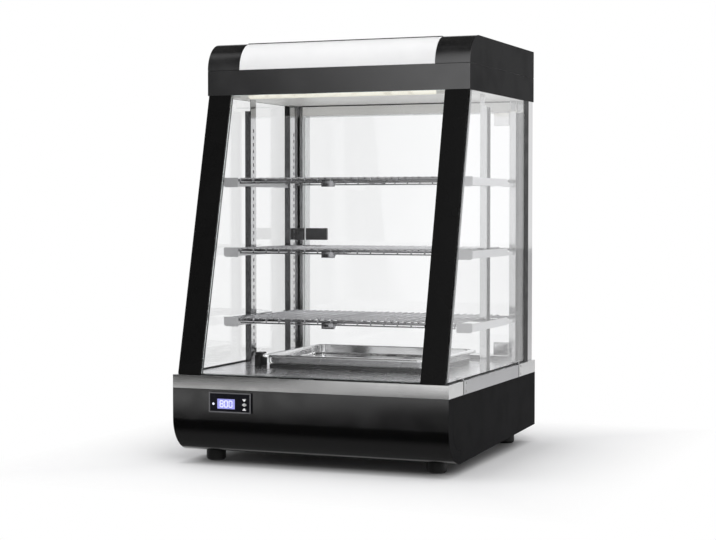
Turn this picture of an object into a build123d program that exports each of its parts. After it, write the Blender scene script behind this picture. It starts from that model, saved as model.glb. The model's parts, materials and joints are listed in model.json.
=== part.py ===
from build123d import *
import os

# Countertop heated display case. Millimetres, +Z up, the customer side faces -Y.
# The origin lies on the counter, under the middle of the base.

# Base
BASE_WIDTH = 500.0
BASE_DEPTH = 504.0
FOOT_HEIGHT = 32.0
BASE_HEIGHT = 98.8
BAND_HEIGHT = 22.8
SHEET = 1.5
SEAM = 0.3
CUT = 1.0
BASE_CURVE = 60.0
RETURN_WIDTH = 22.0
SKIRT_DROP = 15.0
SKIRT_REACH = 52.0
TRIM_SEAM = 0.8
TRIM_FRONT_REACH = 76.0
TRIM_REAR_REACH = 106.0

BASE_HALF = BASE_WIDTH / 2
BASE_BACK = BASE_DEPTH / 2
BASE_FRONT = -BASE_BACK
CURVE_END = BASE_FRONT + BASE_CURVE
SKIRT_END = BASE_FRONT + SKIRT_REACH
SKIRT_LOW = FOOT_HEIGHT - SKIRT_DROP
PANEL_TOP = FOOT_HEIGHT + BASE_HEIGHT
DECK_TOP = PANEL_TOP + BAND_HEIGHT
TRIM_FRONT_END = BASE_FRONT + TRIM_FRONT_REACH
TRIM_REAR_START = BASE_BACK - TRIM_REAR_REACH

# Feet
FOOT_RADIUS = 17.0
FOOT_SIDE = 46.0
FOOT_FRONT = 74.0
FOOT_REAR = 40.0
FOOT_CHAMFER = 3.0

# Glass and posts
CASE_INSET = 6.2
CASE_HEIGHT = 484.1
GLASS = 5.0
GLASS_FIT = 0.3
POST_INSET = 2.3
POST_WIDTH = 42.0
POST_SHEET = 3.0
POST_RETURN_DEPTH = 14.0
POST_FLANGE_DEPTH = 18.0
POST_SETBACK = 3.5
POST_HEAD_GAP = 0.5
SEAL_HEIGHT = 2.0
SEAL_SIDE = 1.2

CASE_HALF = BASE_HALF - CASE_INSET
GLASS_INNER_X = CASE_HALF - GLASS
POST_OUTER = CASE_HALF - POST_INSET
POST_INNER = POST_OUTER - POST_WIDTH
POST_FOOT_Y = BASE_FRONT + POST_SETBACK

# Hood
HOOD_OVERHANG = 0.4
HOOD_SETBACK = 124.5
HOOD_REAR_OVERHANG = 5.0
STRIP_HEIGHT = 44.1
LID_HEIGHT = 49.7
SIGN_END = 62.2
VALANCE_LIP = 12.0
DIFFUSER = 2.5

HOOD_HALF = CASE_HALF + HOOD_OVERHANG
HOOD_FRONT = BASE_FRONT + HOOD_SETBACK
HOOD_BACK = BASE_BACK + HOOD_REAR_OVERHANG
HOOD_BOTTOM = DECK_TOP + CASE_HEIGHT
HOOD_SEAM = HOOD_BOTTOM + STRIP_HEIGHT
HOOD_TOP = HOOD_SEAM + LID_HEIGHT
SIGN_HALF = HOOD_HALF - SIGN_END
POST_LEAN = (HOOD_FRONT + POST_HEAD_GAP - POST_FOOT_Y) / CASE_HEIGHT

# Ceiling lamp and sign lamp
TROUGH_REACH = 69.5
TROUGH_HEIGHT = 24.0
LAMP_SETBACK = 35.5
LAMP_RISE = 2.3
LAMP_END = 67.8
LAMP_RADIUS = 8.0
LAMP_HOLDER = 14.0
SIGN_LAMP_SETBACK = 61.5
SIGN_LAMP_END = 22.0
SIGN_LAMP_RADIUS = 8.0

CEILING_FRONT = HOOD_FRONT + TROUGH_REACH
LAMP_Y = HOOD_FRONT + LAMP_SETBACK
LAMP_Z = HOOD_BOTTOM + LAMP_RISE
LAMP_HALF = CASE_HALF - LAMP_END
SIGN_LAMP_Y = HOOD_FRONT + SIGN_LAMP_SETBACK
SIGN_LAMP_HALF = SIGN_HALF - SIGN_LAMP_END

# Rear frame
FRAME_WIDTH = 33.8
FRAME_DEPTH = 38.0
SILL_HEIGHT = 8.4
HEADER_HEIGHT = 19.7
EDGE_CHANNEL_REACH = 17.0
EDGE_CHANNEL_SINK = 9.5

FRAME_INNER = CASE_HALF - FRAME_WIDTH
FRAME_BACK = BASE_BACK
FRAME_FRONT = FRAME_BACK - FRAME_DEPTH
SILL_TOP = DECK_TOP + SILL_HEIGHT
HEADER_BOTTOM = HOOD_BOTTOM - HEADER_HEIGHT
EDGE_CHANNEL_FRONT = FRAME_FRONT - EDGE_CHANNEL_REACH
EDGE_CHANNEL_BACK = FRAME_FRONT + EDGE_CHANNEL_SINK

# Perforated uprights
UPRIGHT_GAP = 8.3
UPRIGHT_WIDTH = 12.0
UPRIGHT_NOTCH = 21.0
UPRIGHT_FRONT_SETBACK = 125.0
UPRIGHT_FRONT_DEPTH = 22.0
UPRIGHT_REAR_GAP = 6.0
UPRIGHT_REAR_DEPTH = 34.0
HOLE_PITCH = 12.5
HOLE_WIDTH = 4.0
HOLE_HEIGHT = 6.0
HOLE_RISE = 26.9
HOLE_TOP_GAP = 50.0

UPRIGHT_INNER = GLASS_INNER_X - UPRIGHT_GAP - UPRIGHT_WIDTH
UPRIGHT_FRONT_Y = HOOD_FRONT + UPRIGHT_FRONT_SETBACK
UPRIGHT_REAR_Y = FRAME_FRONT - UPRIGHT_REAR_GAP - UPRIGHT_REAR_DEPTH
HOLE_FIRST = DECK_TOP + HOLE_RISE
HOLE_COUNT = int((HOOD_BOTTOM - HOLE_TOP_GAP - HOLE_FIRST) / HOLE_PITCH) + 1

# Shelf arms
ARM_LEDGE = 14.5
ARM_CLEARANCE = 2.0
ARM_SHEET = 1.5
ARM_DROP = 15.0
ARM_NOSE_DROP = 17.0
ARM_NOSE_ROUND = 5.0
ARM_REAR_GAP = 56.0
ARM_TONGUE = 8.0

ARM_INNER = UPRIGHT_INNER - ARM_LEDGE
ARM_OUTER = UPRIGHT_INNER + UPRIGHT_WIDTH + ARM_CLEARANCE
ARM_REAR = UPRIGHT_REAR_Y - ARM_REAR_GAP

# Shelves
SHELF_COUNT = 3
SHELF_FIRST_HOLE = 5
SHELF_HOLES = 10
SHELF_SETBACK = 41.5
SHELF_REAR_GAP = 4.5
WIRE = 2.5
WIRE_PITCH = 12.5
WIRE_SINK = 0.4
ROD = 5.0
ROD_SIDES = 8
ROD_END = 4.0
MIDDLE_ROD_GAP = 40.5
LIP_DROP = 11.0
BRACE_SHIFT = 31.0
BRACE_WIDTH = 23.0
BRACE_FRONT_DROP = 17.0
BRACE_TAB = 6.0
BRACE_MIDDLE_DROP = 11.5
BRACE_REACH = 128.0

SHELF_FIRST = HOLE_FIRST + SHELF_FIRST_HOLE * HOLE_PITCH
SHELF_SPACING = SHELF_HOLES * HOLE_PITCH
SHELF_FRONT = HOOD_FRONT + SHELF_SETBACK
SHELF_REAR = UPRIGHT_REAR_Y - SHELF_REAR_GAP
MIDDLE_ROD_Y = UPRIGHT_FRONT_Y + UPRIGHT_FRONT_DEPTH + MIDDLE_ROD_GAP
ROD_HALF = ARM_OUTER - ROD_END
WIRE_COUNT = 2 * int((ARM_INNER - WIRE) / WIRE_PITCH) + 1

# Door
DOOR_GAP = 1.8
DOOR_SETBACK = 10.5
HINGE_INSET = 7.0
DOOR_FREE_GAP = 2.0
DOOR_EDGE = 4.5
CLAMP_RADIUS = 6.5
CLAMP_LENGTH = 28.0
CLAMP_HEIGHT = 24.0
PIN_RADIUS = 2.5
PIN_LENGTH = 7.0
PIN_CLEARANCE = 0.05
PIN_BOSS = 7.0
PIN_FLOOR = 1.2
GRIP_INSET = 26.0
GRIP_RISE = 234.4
GRIP_WIDTH = 44.0
GRIP_HEIGHT = 23.0
GRIP_THICKNESS = 7.0
KNOB_RADIUS = 10.5
KNOB_NECK = 5.5
KNOB_REACH = 22.0
KNOB_NECK_REACH = 7.5
KNOB_FLARE_REACH = 11.0
CATCH_WIDTH = 19.0

DOOR_Y = FRAME_FRONT + DOOR_SETBACK
DOOR_HINGE_X = FRAME_INNER - HINGE_INSET
DOOR_FREE_X = -FRAME_INNER + DOOR_FREE_GAP
GRIP_X = DOOR_FREE_X + GRIP_INSET
GRIP_Z = DECK_TOP + GRIP_RISE

# Heated floor
TRAY_LENGTH = 325.0
TRAY_DEPTH = 265.0
TRAY_HEIGHT = 17.5
TRAY_REAR_GAP = 41.5
TRAY_SHEET = 0.9
TRAY_RIM = 11.0
TRAY_ROLL = 4.5
TRAY_CORNER = 24.0
PLATE_RISE = 6.4
PLATE_MARGIN = 14.5
STUD_RADIUS = 3.0
STUD_LENGTH = 14.0
STUD_INSET = 28.0
STUD_FIT = 0.3
INSULATION_GAP = 0.4
INSULATION = 10.0
LIFT_GAP = 0.3
PROBE_WIDTH = 12.0
PROBE_LENGTH = 28.0
PROBE_HEIGHT = 25.0
PROBE_BEVEL = 5.0
PROBE_GAP = 7.5
PROBE_SETBACK = 92.0

TRAY_Y = FRAME_FRONT - TRAY_REAR_GAP - TRAY_DEPTH / 2
TRAY_BOTTOM = DECK_TOP + PLATE_RISE
TRAY_TOP = TRAY_BOTTOM + TRAY_HEIGHT
PLATE_LENGTH = TRAY_LENGTH - 2 * PLATE_MARGIN
PLATE_DEPTH = TRAY_DEPTH - 2 * PLATE_MARGIN
PROBE_X = -TRAY_LENGTH / 2 - PROBE_GAP - PROBE_WIDTH / 2
PROBE_Y = TRAY_Y - PROBE_SETBACK

# Controller
CONTROLLER_SIDE = 110.5
CONTROLLER_DROP = 21.1
BEZEL_WIDTH = 78.6
BEZEL_HEIGHT = 34.5
BEZEL_PROUD = 4.0
BEZEL_ROUND = 2.5
BODY_MARGIN = 3.0
BODY_DEPTH = 58.0
CUTOUT_FIT = 0.3
WINDOW_WIDTH = 33.5
WINDOW_HEIGHT = 17.0
WINDOW_SHIFT = 7.3
WINDOW_DROP = 2.3
WINDOW_DEPTH = 1.2
LED_SHIFT = 30.7
LED_DROP = 2.7
LED_RADIUS = 1.6
KEY_COUNT = 3
KEY_SHIFT = 27.8
KEY_DROP = 2.4
KEY_PITCH = 8.1
KEY_WIDTH = 8.0
KEY_HEIGHT = 5.0
KEY_ROUND = 2.4
KEY_PROUD = 1.2
KEY_FIT = 0.3
KEY_TRAVEL = 0.6

CONTROLLER_X = -BASE_HALF + CONTROLLER_SIDE
CONTROLLER_Z = PANEL_TOP - CONTROLLER_DROP
BODY_WIDTH = BEZEL_WIDTH - 2 * BODY_MARGIN
BODY_HEIGHT = BEZEL_HEIGHT - 2 * BODY_MARGIN
WINDOW_X = CONTROLLER_X - WINDOW_SHIFT
WINDOW_Z = CONTROLLER_Z - WINDOW_DROP
LED_X = CONTROLLER_X - LED_SHIFT
LED_Z = CONTROLLER_Z - LED_DROP
KEY_X = CONTROLLER_X + KEY_SHIFT
KEY_Z = CONTROLLER_Z - KEY_DROP

# Mains inlet, switch and cooling slots on the back
INLET_SIDE = 100.0
INLET_RISE = 52.0
INLET_WIDTH = 27.0
INLET_HEIGHT = 20.0
INLET_FLANGE = 48.0
INLET_FLANGE_HEIGHT = 24.0
INLET_CORNER = 3.0
INLET_PROUD = 2.0
INLET_BODY = 24.0
SOCKET_WALL = 2.2
SOCKET_DEPTH = 16.0
BLADE_LENGTH = 10.0
BLADE_WIDTH = 2.0
BLADE_HEIGHT = 4.0
BLADE_SPREAD = 7.0
BLADE_RISE = 2.0
SWITCH_SIDE = 158.0
SWITCH_WIDTH = 19.0
SWITCH_HEIGHT = 26.0
SWITCH_RIM = 2.5
SWITCH_PROUD = 2.0
SWITCH_BODY = 20.0
ROCKER_TILT = 8.0
ROCKER_END = 4.2
ROCKER_DIP = 1.4
ROCKER_BACK = 3.0
ROCKER_PIN = 1.5
ROCKER_FIT = 0.4
ROCKER_SWING = 1.1
VENT_SIDE = 140.0
VENT_COUNT = 9
VENT_PITCH = 8.0
VENT_LENGTH = 60.0
VENT_HEIGHT = 3.0

INLET_X = BASE_HALF - INLET_SIDE
INLET_Z = FOOT_HEIGHT + INLET_RISE
SWITCH_X = BASE_HALF - SWITCH_SIDE
VENT_X = -BASE_HALF + VENT_SIDE


def block(x, y, z):
    """A box from three (low, high) ranges."""
    size = [high - low for low, high in (x, y, z)]
    middle = [(high + low) / 2 for low, high in (x, y, z)]
    return Pos(*middle) * Box(*size)


def side_prism(points, x_low, x_high):
    """A prism with a (y, z) outline that runs along X."""
    face = make_face(Polyline(*points, close=True))
    return extrude(Plane.YZ.offset(x_low) * face, amount=x_high - x_low)


def mirrored(part):
    """The same piece on the other side of the case."""
    return mirror(part, about=Plane.YZ)


def slanted(face):
    """Sweeps a horizontal outline on the deck up the lean of the front."""
    lean = Vector(0, POST_LEAN * CASE_HEIGHT, CASE_HEIGHT)
    return extrude(Plane.XY.offset(DECK_TOP) * face, amount=lean.length, dir=lean.normalized())


def flat_rectangle(x, y):
    """A horizontal rectangle from two (low, high) ranges."""
    middle = Pos((x[0] + x[1]) / 2, (y[0] + y[1]) / 2)
    return middle * Rectangle(x[1] - x[0], y[1] - y[0])


def skirt_edge(y, inset):
    """Height of the base's lower edge, which drops towards the front, raised by an inset."""
    stretch = Vector(BASE_DEPTH, SKIRT_DROP).length / BASE_DEPTH
    return SKIRT_LOW + (y - BASE_FRONT) * SKIRT_DROP / BASE_DEPTH + inset * stretch


def base_outline(inset):
    """The base seen from the side, with its front lower edge rounded, drawn in by an inset."""
    front = BASE_FRONT + inset
    outline = Polyline(
        (front, skirt_edge(front, inset)),
        (BASE_BACK, skirt_edge(BASE_BACK, inset)),
        (BASE_BACK, PANEL_TOP),
        (front, PANEL_TOP),
        close=True,
    )
    face = make_face(outline)
    corner = face.vertices().sort_by(lambda v: v.X + v.Y)[0]
    return fillet(corner, BASE_CURVE - inset)


def before(face, y_end):
    """The part of a side outline that lies in front of y_end."""
    return face & flat_rectangle((BASE_FRONT, y_end), (SKIRT_LOW, PANEL_TOP))


def along_x(face, x_low, x_high):
    """Extrudes a side outline between two X values."""
    return extrude(Plane.YZ.offset(x_low) * face, amount=x_high - x_low)


def base_front_panel():
    """Curved front sheet with a return round each side, a flange up to the floor and a cut-out."""
    inner = BASE_HALF - SHEET
    skin = before(base_outline(0) - base_outline(SHEET), SKIRT_END)
    band = before(base_outline(0) - base_outline(RETURN_WIDTH), CURVE_END)
    strip = flat_rectangle((SKIRT_END - SHEET, SKIRT_END), (SKIRT_LOW, FOOT_HEIGHT + SHEET))
    flange = base_outline(0) & strip
    sheet = along_x(skin, -BASE_HALF, BASE_HALF) + along_x(flange, -inner, inner)
    side = along_x(band, BASE_HALF - SHEET, BASE_HALF)
    cutout = block(
        (CONTROLLER_X - BODY_WIDTH / 2 - CUTOUT_FIT, CONTROLLER_X + BODY_WIDTH / 2 + CUTOUT_FIT),
        (BASE_FRONT - CUT, BASE_FRONT + SHEET + CUT),
        (CONTROLLER_Z - BODY_HEIGHT / 2 - CUTOUT_FIT, CONTROLLER_Z + BODY_HEIGHT / 2 + CUTOUT_FIT),
    )
    return sheet + side + mirrored(side) - cutout


def base_side():
    """Right side sheet, cut back round the return of the front panel."""
    band = base_outline(0) - base_outline(RETURN_WIDTH + SEAM)
    face = base_outline(0) - before(band, CURVE_END + SEAM)
    return along_x(face, BASE_HALF - SHEET, BASE_HALF)


def base_floor():
    """Bottom sheet between the flange of the front panel and the back."""
    inner = BASE_HALF - SHEET
    return block((-inner, inner), (SKIRT_END, BASE_BACK - SHEET), (FOOT_HEIGHT, FOOT_HEIGHT + SHEET))


def base_back_panel():
    """Back sheet with cooling slots and the cut-outs for the inlet and the switch."""
    inner = BASE_HALF - SHEET
    y = (BASE_BACK - SHEET, BASE_BACK)
    panel = block((-inner, inner), y, (FOOT_HEIGHT, PANEL_TOP))
    through = (y[0] - CUT, y[1] + CUT)
    low = (FOOT_HEIGHT + PANEL_TOP) / 2 - (VENT_COUNT - 1) * VENT_PITCH / 2
    for row in range(VENT_COUNT):
        z = low + row * VENT_PITCH
        panel -= block(
            (VENT_X - VENT_LENGTH / 2, VENT_X + VENT_LENGTH / 2),
            through,
            (z - VENT_HEIGHT / 2, z + VENT_HEIGHT / 2),
        )
    panel -= back_hole(INLET_X, INLET_WIDTH, INLET_HEIGHT, through)
    panel -= back_hole(SWITCH_X, SWITCH_WIDTH, SWITCH_HEIGHT, through)
    return panel


def back_hole(x, width, height, through):
    """A cut-out in the back sheet, one fit larger than the body that passes through it."""
    half_width = width / 2 + CUTOUT_FIT
    half_height = height / 2 + CUTOUT_FIT
    return block((x - half_width, x + half_width), through, (INLET_Z - half_height, INLET_Z + half_height))


def feet():
    """Four rubber feet with a chamfered sole."""
    foot = Pos(0, 0, FOOT_HEIGHT / 2) * Cylinder(FOOT_RADIUS, FOOT_HEIGHT)
    foot = chamfer(foot.edges().sort_by(Axis.Z)[0], FOOT_CHAMFER)
    x_right = BASE_HALF - FOOT_SIDE
    rows = (BASE_FRONT + FOOT_FRONT, BASE_BACK - FOOT_REAR)
    return Compound([Pos(x, y, 0) * foot for x in (-x_right, x_right) for y in rows])


def deck_plate():
    """Stainless floor of the case, with holes for the studs of the heat plate."""
    inner = BASE_HALF - SHEET
    plate = block((-inner, inner), (BASE_FRONT + SHEET, BASE_BACK - SHEET), (DECK_TOP - SHEET, DECK_TOP))
    for x, y in stud_places():
        plate -= Pos(x, y, DECK_TOP) * Cylinder(STUD_RADIUS + STUD_FIT, 2 * (SHEET + CUT))
    return plate


def trim_end(y_low, y_high, y_face):
    """A stainless band round one end of the deck, open towards the other end."""
    z = (PANEL_TOP, DECK_TOP)
    face = block((-BASE_HALF, BASE_HALF), y_face, z)
    side = block((BASE_HALF - SHEET, BASE_HALF), (y_low, y_high), z)
    return face + side + mirrored(side)


def trim_side():
    """The straight piece of the band on the right."""
    y = (TRIM_FRONT_END + TRIM_SEAM, TRIM_REAR_START - TRIM_SEAM)
    return block((BASE_HALF - SHEET, BASE_HALF), y, (PANEL_TOP, DECK_TOP))


def post():
    """Right front post: a folded channel that leans back, with a flange for each pane."""
    front = POST_FOOT_Y
    plate = flat_rectangle((POST_INNER, POST_OUTER), (front, front + POST_SHEET))
    inner = flat_rectangle((POST_INNER, POST_INNER + POST_SHEET), (front, front + POST_RETURN_DEPTH))
    flange_x = GLASS_INNER_X - GLASS_FIT
    flange = flat_rectangle((flange_x - POST_SHEET, flange_x), (front, front + POST_FLANGE_DEPTH))
    return slanted(plate + inner + flange)


def front_glass():
    """Leaning front pane between the two posts, standing on its seal."""
    half = POST_INNER - GLASS_FIT
    y = (POST_FOOT_Y + POST_SHEET, POST_FOOT_Y + POST_SHEET + GLASS)
    pane = slanted(flat_rectangle((-half, half), y))
    below = (DECK_TOP - CUT, DECK_TOP + SEAL_HEIGHT)
    return pane - block((-BASE_HALF, BASE_HALF), (BASE_FRONT, BASE_BACK), below)


def side_glass():
    """Right pane, its front edge parallel to the post and its rear edge in the edge channel."""
    bottom = DECK_TOP + SEAL_HEIGHT
    front_low = POST_FOOT_Y + POST_SHEET + GLASS_FIT + POST_LEAN * SEAL_HEIGHT
    front_high = POST_FOOT_Y + POST_SHEET + GLASS_FIT + POST_LEAN * CASE_HEIGHT
    rear = EDGE_CHANNEL_BACK - SHEET
    outline = [(front_low, bottom), (rear, bottom), (rear, HOOD_BOTTOM), (front_high, HOOD_BOTTOM)]
    return side_prism(outline, GLASS_INNER_X, CASE_HALF)


def glass_seals():
    """Black seals: under the front pane, under each side pane and round its rear edge."""
    half = POST_INNER - GLASS_FIT
    z = (DECK_TOP, DECK_TOP + SEAL_HEIGHT)
    front_y = (POST_FOOT_Y + POST_SHEET, POST_FOOT_Y + POST_SHEET + GLASS + 2 * SEAL_SIDE)
    front = block((-half, half), front_y, z)
    side_y = (POST_FOOT_Y + POST_FLANGE_DEPTH + SEAL_SIDE, EDGE_CHANNEL_FRONT)
    side = block((GLASS_INNER_X - SEAL_SIDE, CASE_HALF), side_y, z)
    channel = edge_channel()
    return Compound([front, side, mirrored(side), channel, mirrored(channel)])


def edge_channel():
    """Right black channel round the rear edge of the side pane."""
    x = (GLASS_INNER_X - SEAL_SIDE, CASE_HALF + GLASS_FIT)
    solid = block(x, (EDGE_CHANNEL_FRONT, EDGE_CHANNEL_BACK), (DECK_TOP, HOOD_BOTTOM))
    slot_y = (EDGE_CHANNEL_FRONT - CUT, EDGE_CHANNEL_BACK - SHEET)
    slot = block((GLASS_INNER_X, CASE_HALF), slot_y, (DECK_TOP + SEAL_HEIGHT, HOOD_BOTTOM + CUT))
    return solid - slot


def upright(y_front, depth):
    """Right slotted upright: a channel open to the pane, its web perforated for the arms."""
    x = (UPRIGHT_INNER, UPRIGHT_INNER + UPRIGHT_WIDTH)
    y = (y_front, y_front + depth)
    z = (DECK_TOP, HOOD_BOTTOM)
    channel = block(x, y, z)
    channel -= block((x[0] + SHEET, x[1] + CUT), (y[0] + SHEET, y[1] - SHEET), (z[0] - CUT, z[1] + CUT))
    channel -= block((x[0] + SHEET, x[1] + CUT), (y[0] - CUT, y[1] + CUT), (z[1] - UPRIGHT_NOTCH, z[1] + CUT))
    middle = (y[0] + y[1]) / 2
    face = Plane.YZ.offset(x[0] - CUT)
    slots = Sketch()
    for row in range(HOLE_COUNT):
        slots += Pos(middle, HOLE_FIRST + row * HOLE_PITCH) * Rectangle(HOLE_WIDTH, HOLE_HEIGHT)
    return channel - extrude(face * slots, amount=SHEET + 2 * CUT)


def shelf_rod(y, half, z_top, across):
    """A round bar across the shelf, drawn with flat sides."""
    face = Rot(0, 0, 180 / ROD_SIDES) * RegularPolygon(across / 2, ROD_SIDES, major_radius=False)
    return extrude(Plane.YZ.offset(-half) * (Pos(y, z_top - across / 2) * face), amount=2 * half)


def wire_x(index):
    """The place of a shelf wire, counted from the left."""
    return (index - (WIRE_COUNT - 1) / 2) * WIRE_PITCH


def shelf(z_top):
    """Wire shelf: wires over three rods, both ends turned down onto a lower rod, and a brace."""
    rod_top = z_top - WIRE + WIRE_SINK
    front_rod = SHELF_FRONT + WIRE + ROD / 2
    rear_rod = SHELF_REAR - WIRE - ROD / 2
    lip_half = wire_x(WIRE_COUNT - 1) + WIRE / 2
    lip_top = z_top - LIP_DROP + WIRE
    part = shelf_rod(front_rod, ROD_HALF, rod_top, ROD)
    part += shelf_rod(MIDDLE_ROD_Y, ROD_HALF, rod_top, ROD)
    part += shelf_rod(rear_rod, ROD_HALF, rod_top, ROD)
    part += block((-lip_half, lip_half), (SHELF_FRONT, SHELF_FRONT + WIRE), (lip_top - WIRE, lip_top))
    part += block((-lip_half, lip_half), (SHELF_REAR - WIRE, SHELF_REAR), (lip_top - WIRE, lip_top))
    wires = []
    for index in range(WIRE_COUNT):
        x = (wire_x(index) - WIRE / 2, wire_x(index) + WIRE / 2)
        wires.append(block(x, (SHELF_FRONT, SHELF_REAR), (z_top - WIRE, z_top)))
        if index % 2 == 0:
            drop = (lip_top - WIRE / 2, z_top - WIRE / 2)
            wires.append(block(x, (SHELF_FRONT, SHELF_FRONT + WIRE), drop))
            wires.append(block(x, (SHELF_REAR - WIRE, SHELF_REAR), drop))
    part += wires
    return part + shelf_brace(z_top, rod_top - ROD)


def shelf_brace(z_top, rod_bottom):
    """Folded brace under the wires, deepest at its front tab."""
    front = SHELF_FRONT
    top = rod_bottom + WIRE_SINK
    outline = [
        (front, top),
        (front, z_top - BRACE_FRONT_DROP),
        (front + BRACE_TAB, z_top - BRACE_FRONT_DROP),
        (front + 2 * BRACE_TAB, z_top - BRACE_MIDDLE_DROP),
        (front + BRACE_REACH, rod_bottom - ARM_SHEET),
        (SHELF_REAR, rod_bottom - ARM_SHEET),
        (SHELF_REAR, top),
    ]
    x = (-BRACE_SHIFT - BRACE_WIDTH / 2, -BRACE_SHIFT + BRACE_WIDTH / 2)
    solid = side_prism(outline, *x)
    inside = block(
        (x[0] + ARM_SHEET, x[1] - ARM_SHEET),
        (front + ARM_SHEET, SHELF_REAR + CUT),
        (z_top - 2 * BRACE_FRONT_DROP, rod_bottom - ARM_SHEET + WIRE_SINK),
    )
    return solid - inside


def shelf_arms(z_top):
    """The pair of folded arms that carry one shelf, threaded over the uprights."""
    ledge_top = z_top - WIRE + WIRE_SINK - ROD - LIFT_GAP
    bottom = z_top - ARM_DROP
    y = (SHELF_FRONT, ARM_REAR)
    outer = block((ARM_OUTER - ARM_SHEET, ARM_OUTER), y, (bottom, z_top - SHEET))
    outer = fillet(outer.edges().filter_by(Axis.X).group_by(Axis.Y)[-1], ARM_NOSE_ROUND)
    ledge = block((ARM_INNER, ARM_OUTER), y, (ledge_top - ARM_SHEET, ledge_top))
    inner = block((ARM_INNER, ARM_INNER + ARM_SHEET), y, (bottom, ledge_top))
    nose = block((ARM_INNER, ARM_OUTER), (y[0] - ARM_SHEET, y[0]), (z_top - ARM_NOSE_DROP, z_top))
    corner = nose.edges().filter_by(Axis.Y).sort_by(lambda e: e.center().X - e.center().Z)[-1]
    nose = fillet(corner, ARM_NOSE_ROUND)
    tongue_x = UPRIGHT_INNER + UPRIGHT_WIDTH / 2
    tongue = block(
        (tongue_x - ARM_SHEET / 2, tongue_x + ARM_SHEET / 2),
        (ARM_REAR - ARM_TONGUE, UPRIGHT_REAR_Y),
        (ledge_top - ARM_TONGUE, ledge_top - ARM_SHEET),
    )
    passage = block(
        (UPRIGHT_INNER - LIFT_GAP, ARM_OUTER - ARM_SHEET),
        (UPRIGHT_FRONT_Y - LIFT_GAP, UPRIGHT_FRONT_Y + UPRIGHT_FRONT_DEPTH + LIFT_GAP),
        (bottom - CUT, z_top + CUT),
    )
    arm = outer + ledge + inner + nose + tongue - passage
    return Compound([arm, mirrored(arm)])


def rear_post_outline(inset):
    """The right rear post seen from above, drawn in by an inset."""
    rebate_x = GLASS_INNER_X - SEAL_SIDE - GLASS_FIT
    rebate_y = EDGE_CHANNEL_BACK + GLASS_FIT
    left = FRAME_INNER + inset
    back = FRAME_BACK - inset
    face = flat_rectangle((left, rebate_x - inset), (FRAME_FRONT + inset, back))
    return face + flat_rectangle((left, CASE_HALF - inset), (rebate_y + inset, back))


def rear_post():
    """Right post of the rear frame: a folded box, rebated for the edge channel of the side pane."""
    face = rear_post_outline(0) - rear_post_outline(SHEET)
    return extrude(Plane.XY.offset(DECK_TOP) * face, amount=CASE_HEIGHT)


def frame_bar(closed, opened):
    """A channel across the rear frame, closed towards the door, with a bored boss for a hinge pin."""
    inward = 1 if opened > closed else -1
    bar = block((-FRAME_INNER, FRAME_INNER), (FRAME_FRONT, FRAME_BACK), sorted((closed, opened)))
    bar -= block(
        (-FRAME_INNER + SHEET, FRAME_INNER - SHEET),
        (FRAME_FRONT + SHEET, FRAME_BACK - SHEET),
        sorted((closed + inward * SHEET, opened + inward * CUT)),
    )
    boss_end = closed + inward * (PIN_LENGTH + PIN_FLOOR)
    boss_x = (DOOR_HINGE_X - PIN_BOSS, FRAME_INNER - SHEET)
    bar += block(boss_x, (DOOR_Y - PIN_BOSS, DOOR_Y + PIN_BOSS), sorted((closed, boss_end)))
    bore = Cylinder(PIN_RADIUS + PIN_CLEARANCE, 2 * PIN_LENGTH)
    return bar - Pos(DOOR_HINGE_X, DOOR_Y, closed) * bore


def door_range():
    """The lower and upper edge of the door."""
    return SILL_TOP + DOOR_GAP, HEADER_BOTTOM - DOOR_GAP


def door_glass():
    """Rear door pane, held at its right edge by the hinge clamps."""
    low, high = door_range()
    x = (DOOR_FREE_X, DOOR_HINGE_X + DOOR_EDGE)
    return block(x, (DOOR_Y - GLASS / 2, DOOR_Y + GLASS / 2), (low, high))


def door_hinges():
    """Two clamps on the pane, each with a pin that turns in the frame."""
    low, high = door_range()
    plan = Pos(DOOR_HINGE_X - CLAMP_LENGTH / 2, DOOR_Y) * Rectangle(CLAMP_LENGTH, 2 * CLAMP_RADIUS)
    plan += Pos(DOOR_HINGE_X, DOOR_Y) * Circle(CLAMP_RADIUS)
    cap = DOOR_GAP / 2
    clamp = extrude(Plane.XY.offset(low - cap) * plan, amount=CLAMP_HEIGHT)
    slot_x = (DOOR_HINGE_X - 2 * CLAMP_LENGTH, DOOR_HINGE_X + DOOR_EDGE)
    slot_y = (DOOR_Y - GLASS / 2, DOOR_Y + GLASS / 2)
    clamp -= block(slot_x, slot_y, (low, low + 2 * CLAMP_HEIGHT))
    pin_reach = PIN_LENGTH + DOOR_GAP / 2 - PIN_CLEARANCE
    pin = Cylinder(PIN_RADIUS, pin_reach, align=(Align.CENTER, Align.CENTER, Align.MAX))
    clamp += Pos(DOOR_HINGE_X, DOOR_Y, low - cap) * pin
    middle = Plane.XY.offset((low + high) / 2)
    return Compound([clamp, mirror(clamp, about=middle)])


def door_handle():
    """Grip plate inside the pane and turned knob outside it."""
    inner_face = DOOR_Y - GLASS / 2
    plate = block(
        (GRIP_X - GRIP_WIDTH / 2, GRIP_X + GRIP_WIDTH / 2),
        (inner_face - GRIP_THICKNESS, inner_face),
        (GRIP_Z - GRIP_HEIGHT / 2, GRIP_Z + GRIP_HEIGHT / 2),
    )
    plate = fillet(plate.edges().filter_by(Axis.Y), SHEET)
    profile = Polyline(
        (0, 0),
        (KNOB_NECK, 0),
        (KNOB_NECK, KNOB_NECK_REACH),
        (KNOB_RADIUS, KNOB_FLARE_REACH),
        (KNOB_RADIUS, KNOB_REACH - SHEET),
        (KNOB_RADIUS - SHEET, KNOB_REACH),
        (0, KNOB_REACH),
        close=True,
    )
    knob = revolve(make_face(profile), Axis.Y)
    return Compound([plate, Pos(GRIP_X, DOOR_Y + GLASS / 2, GRIP_Z) * knob])


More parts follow.
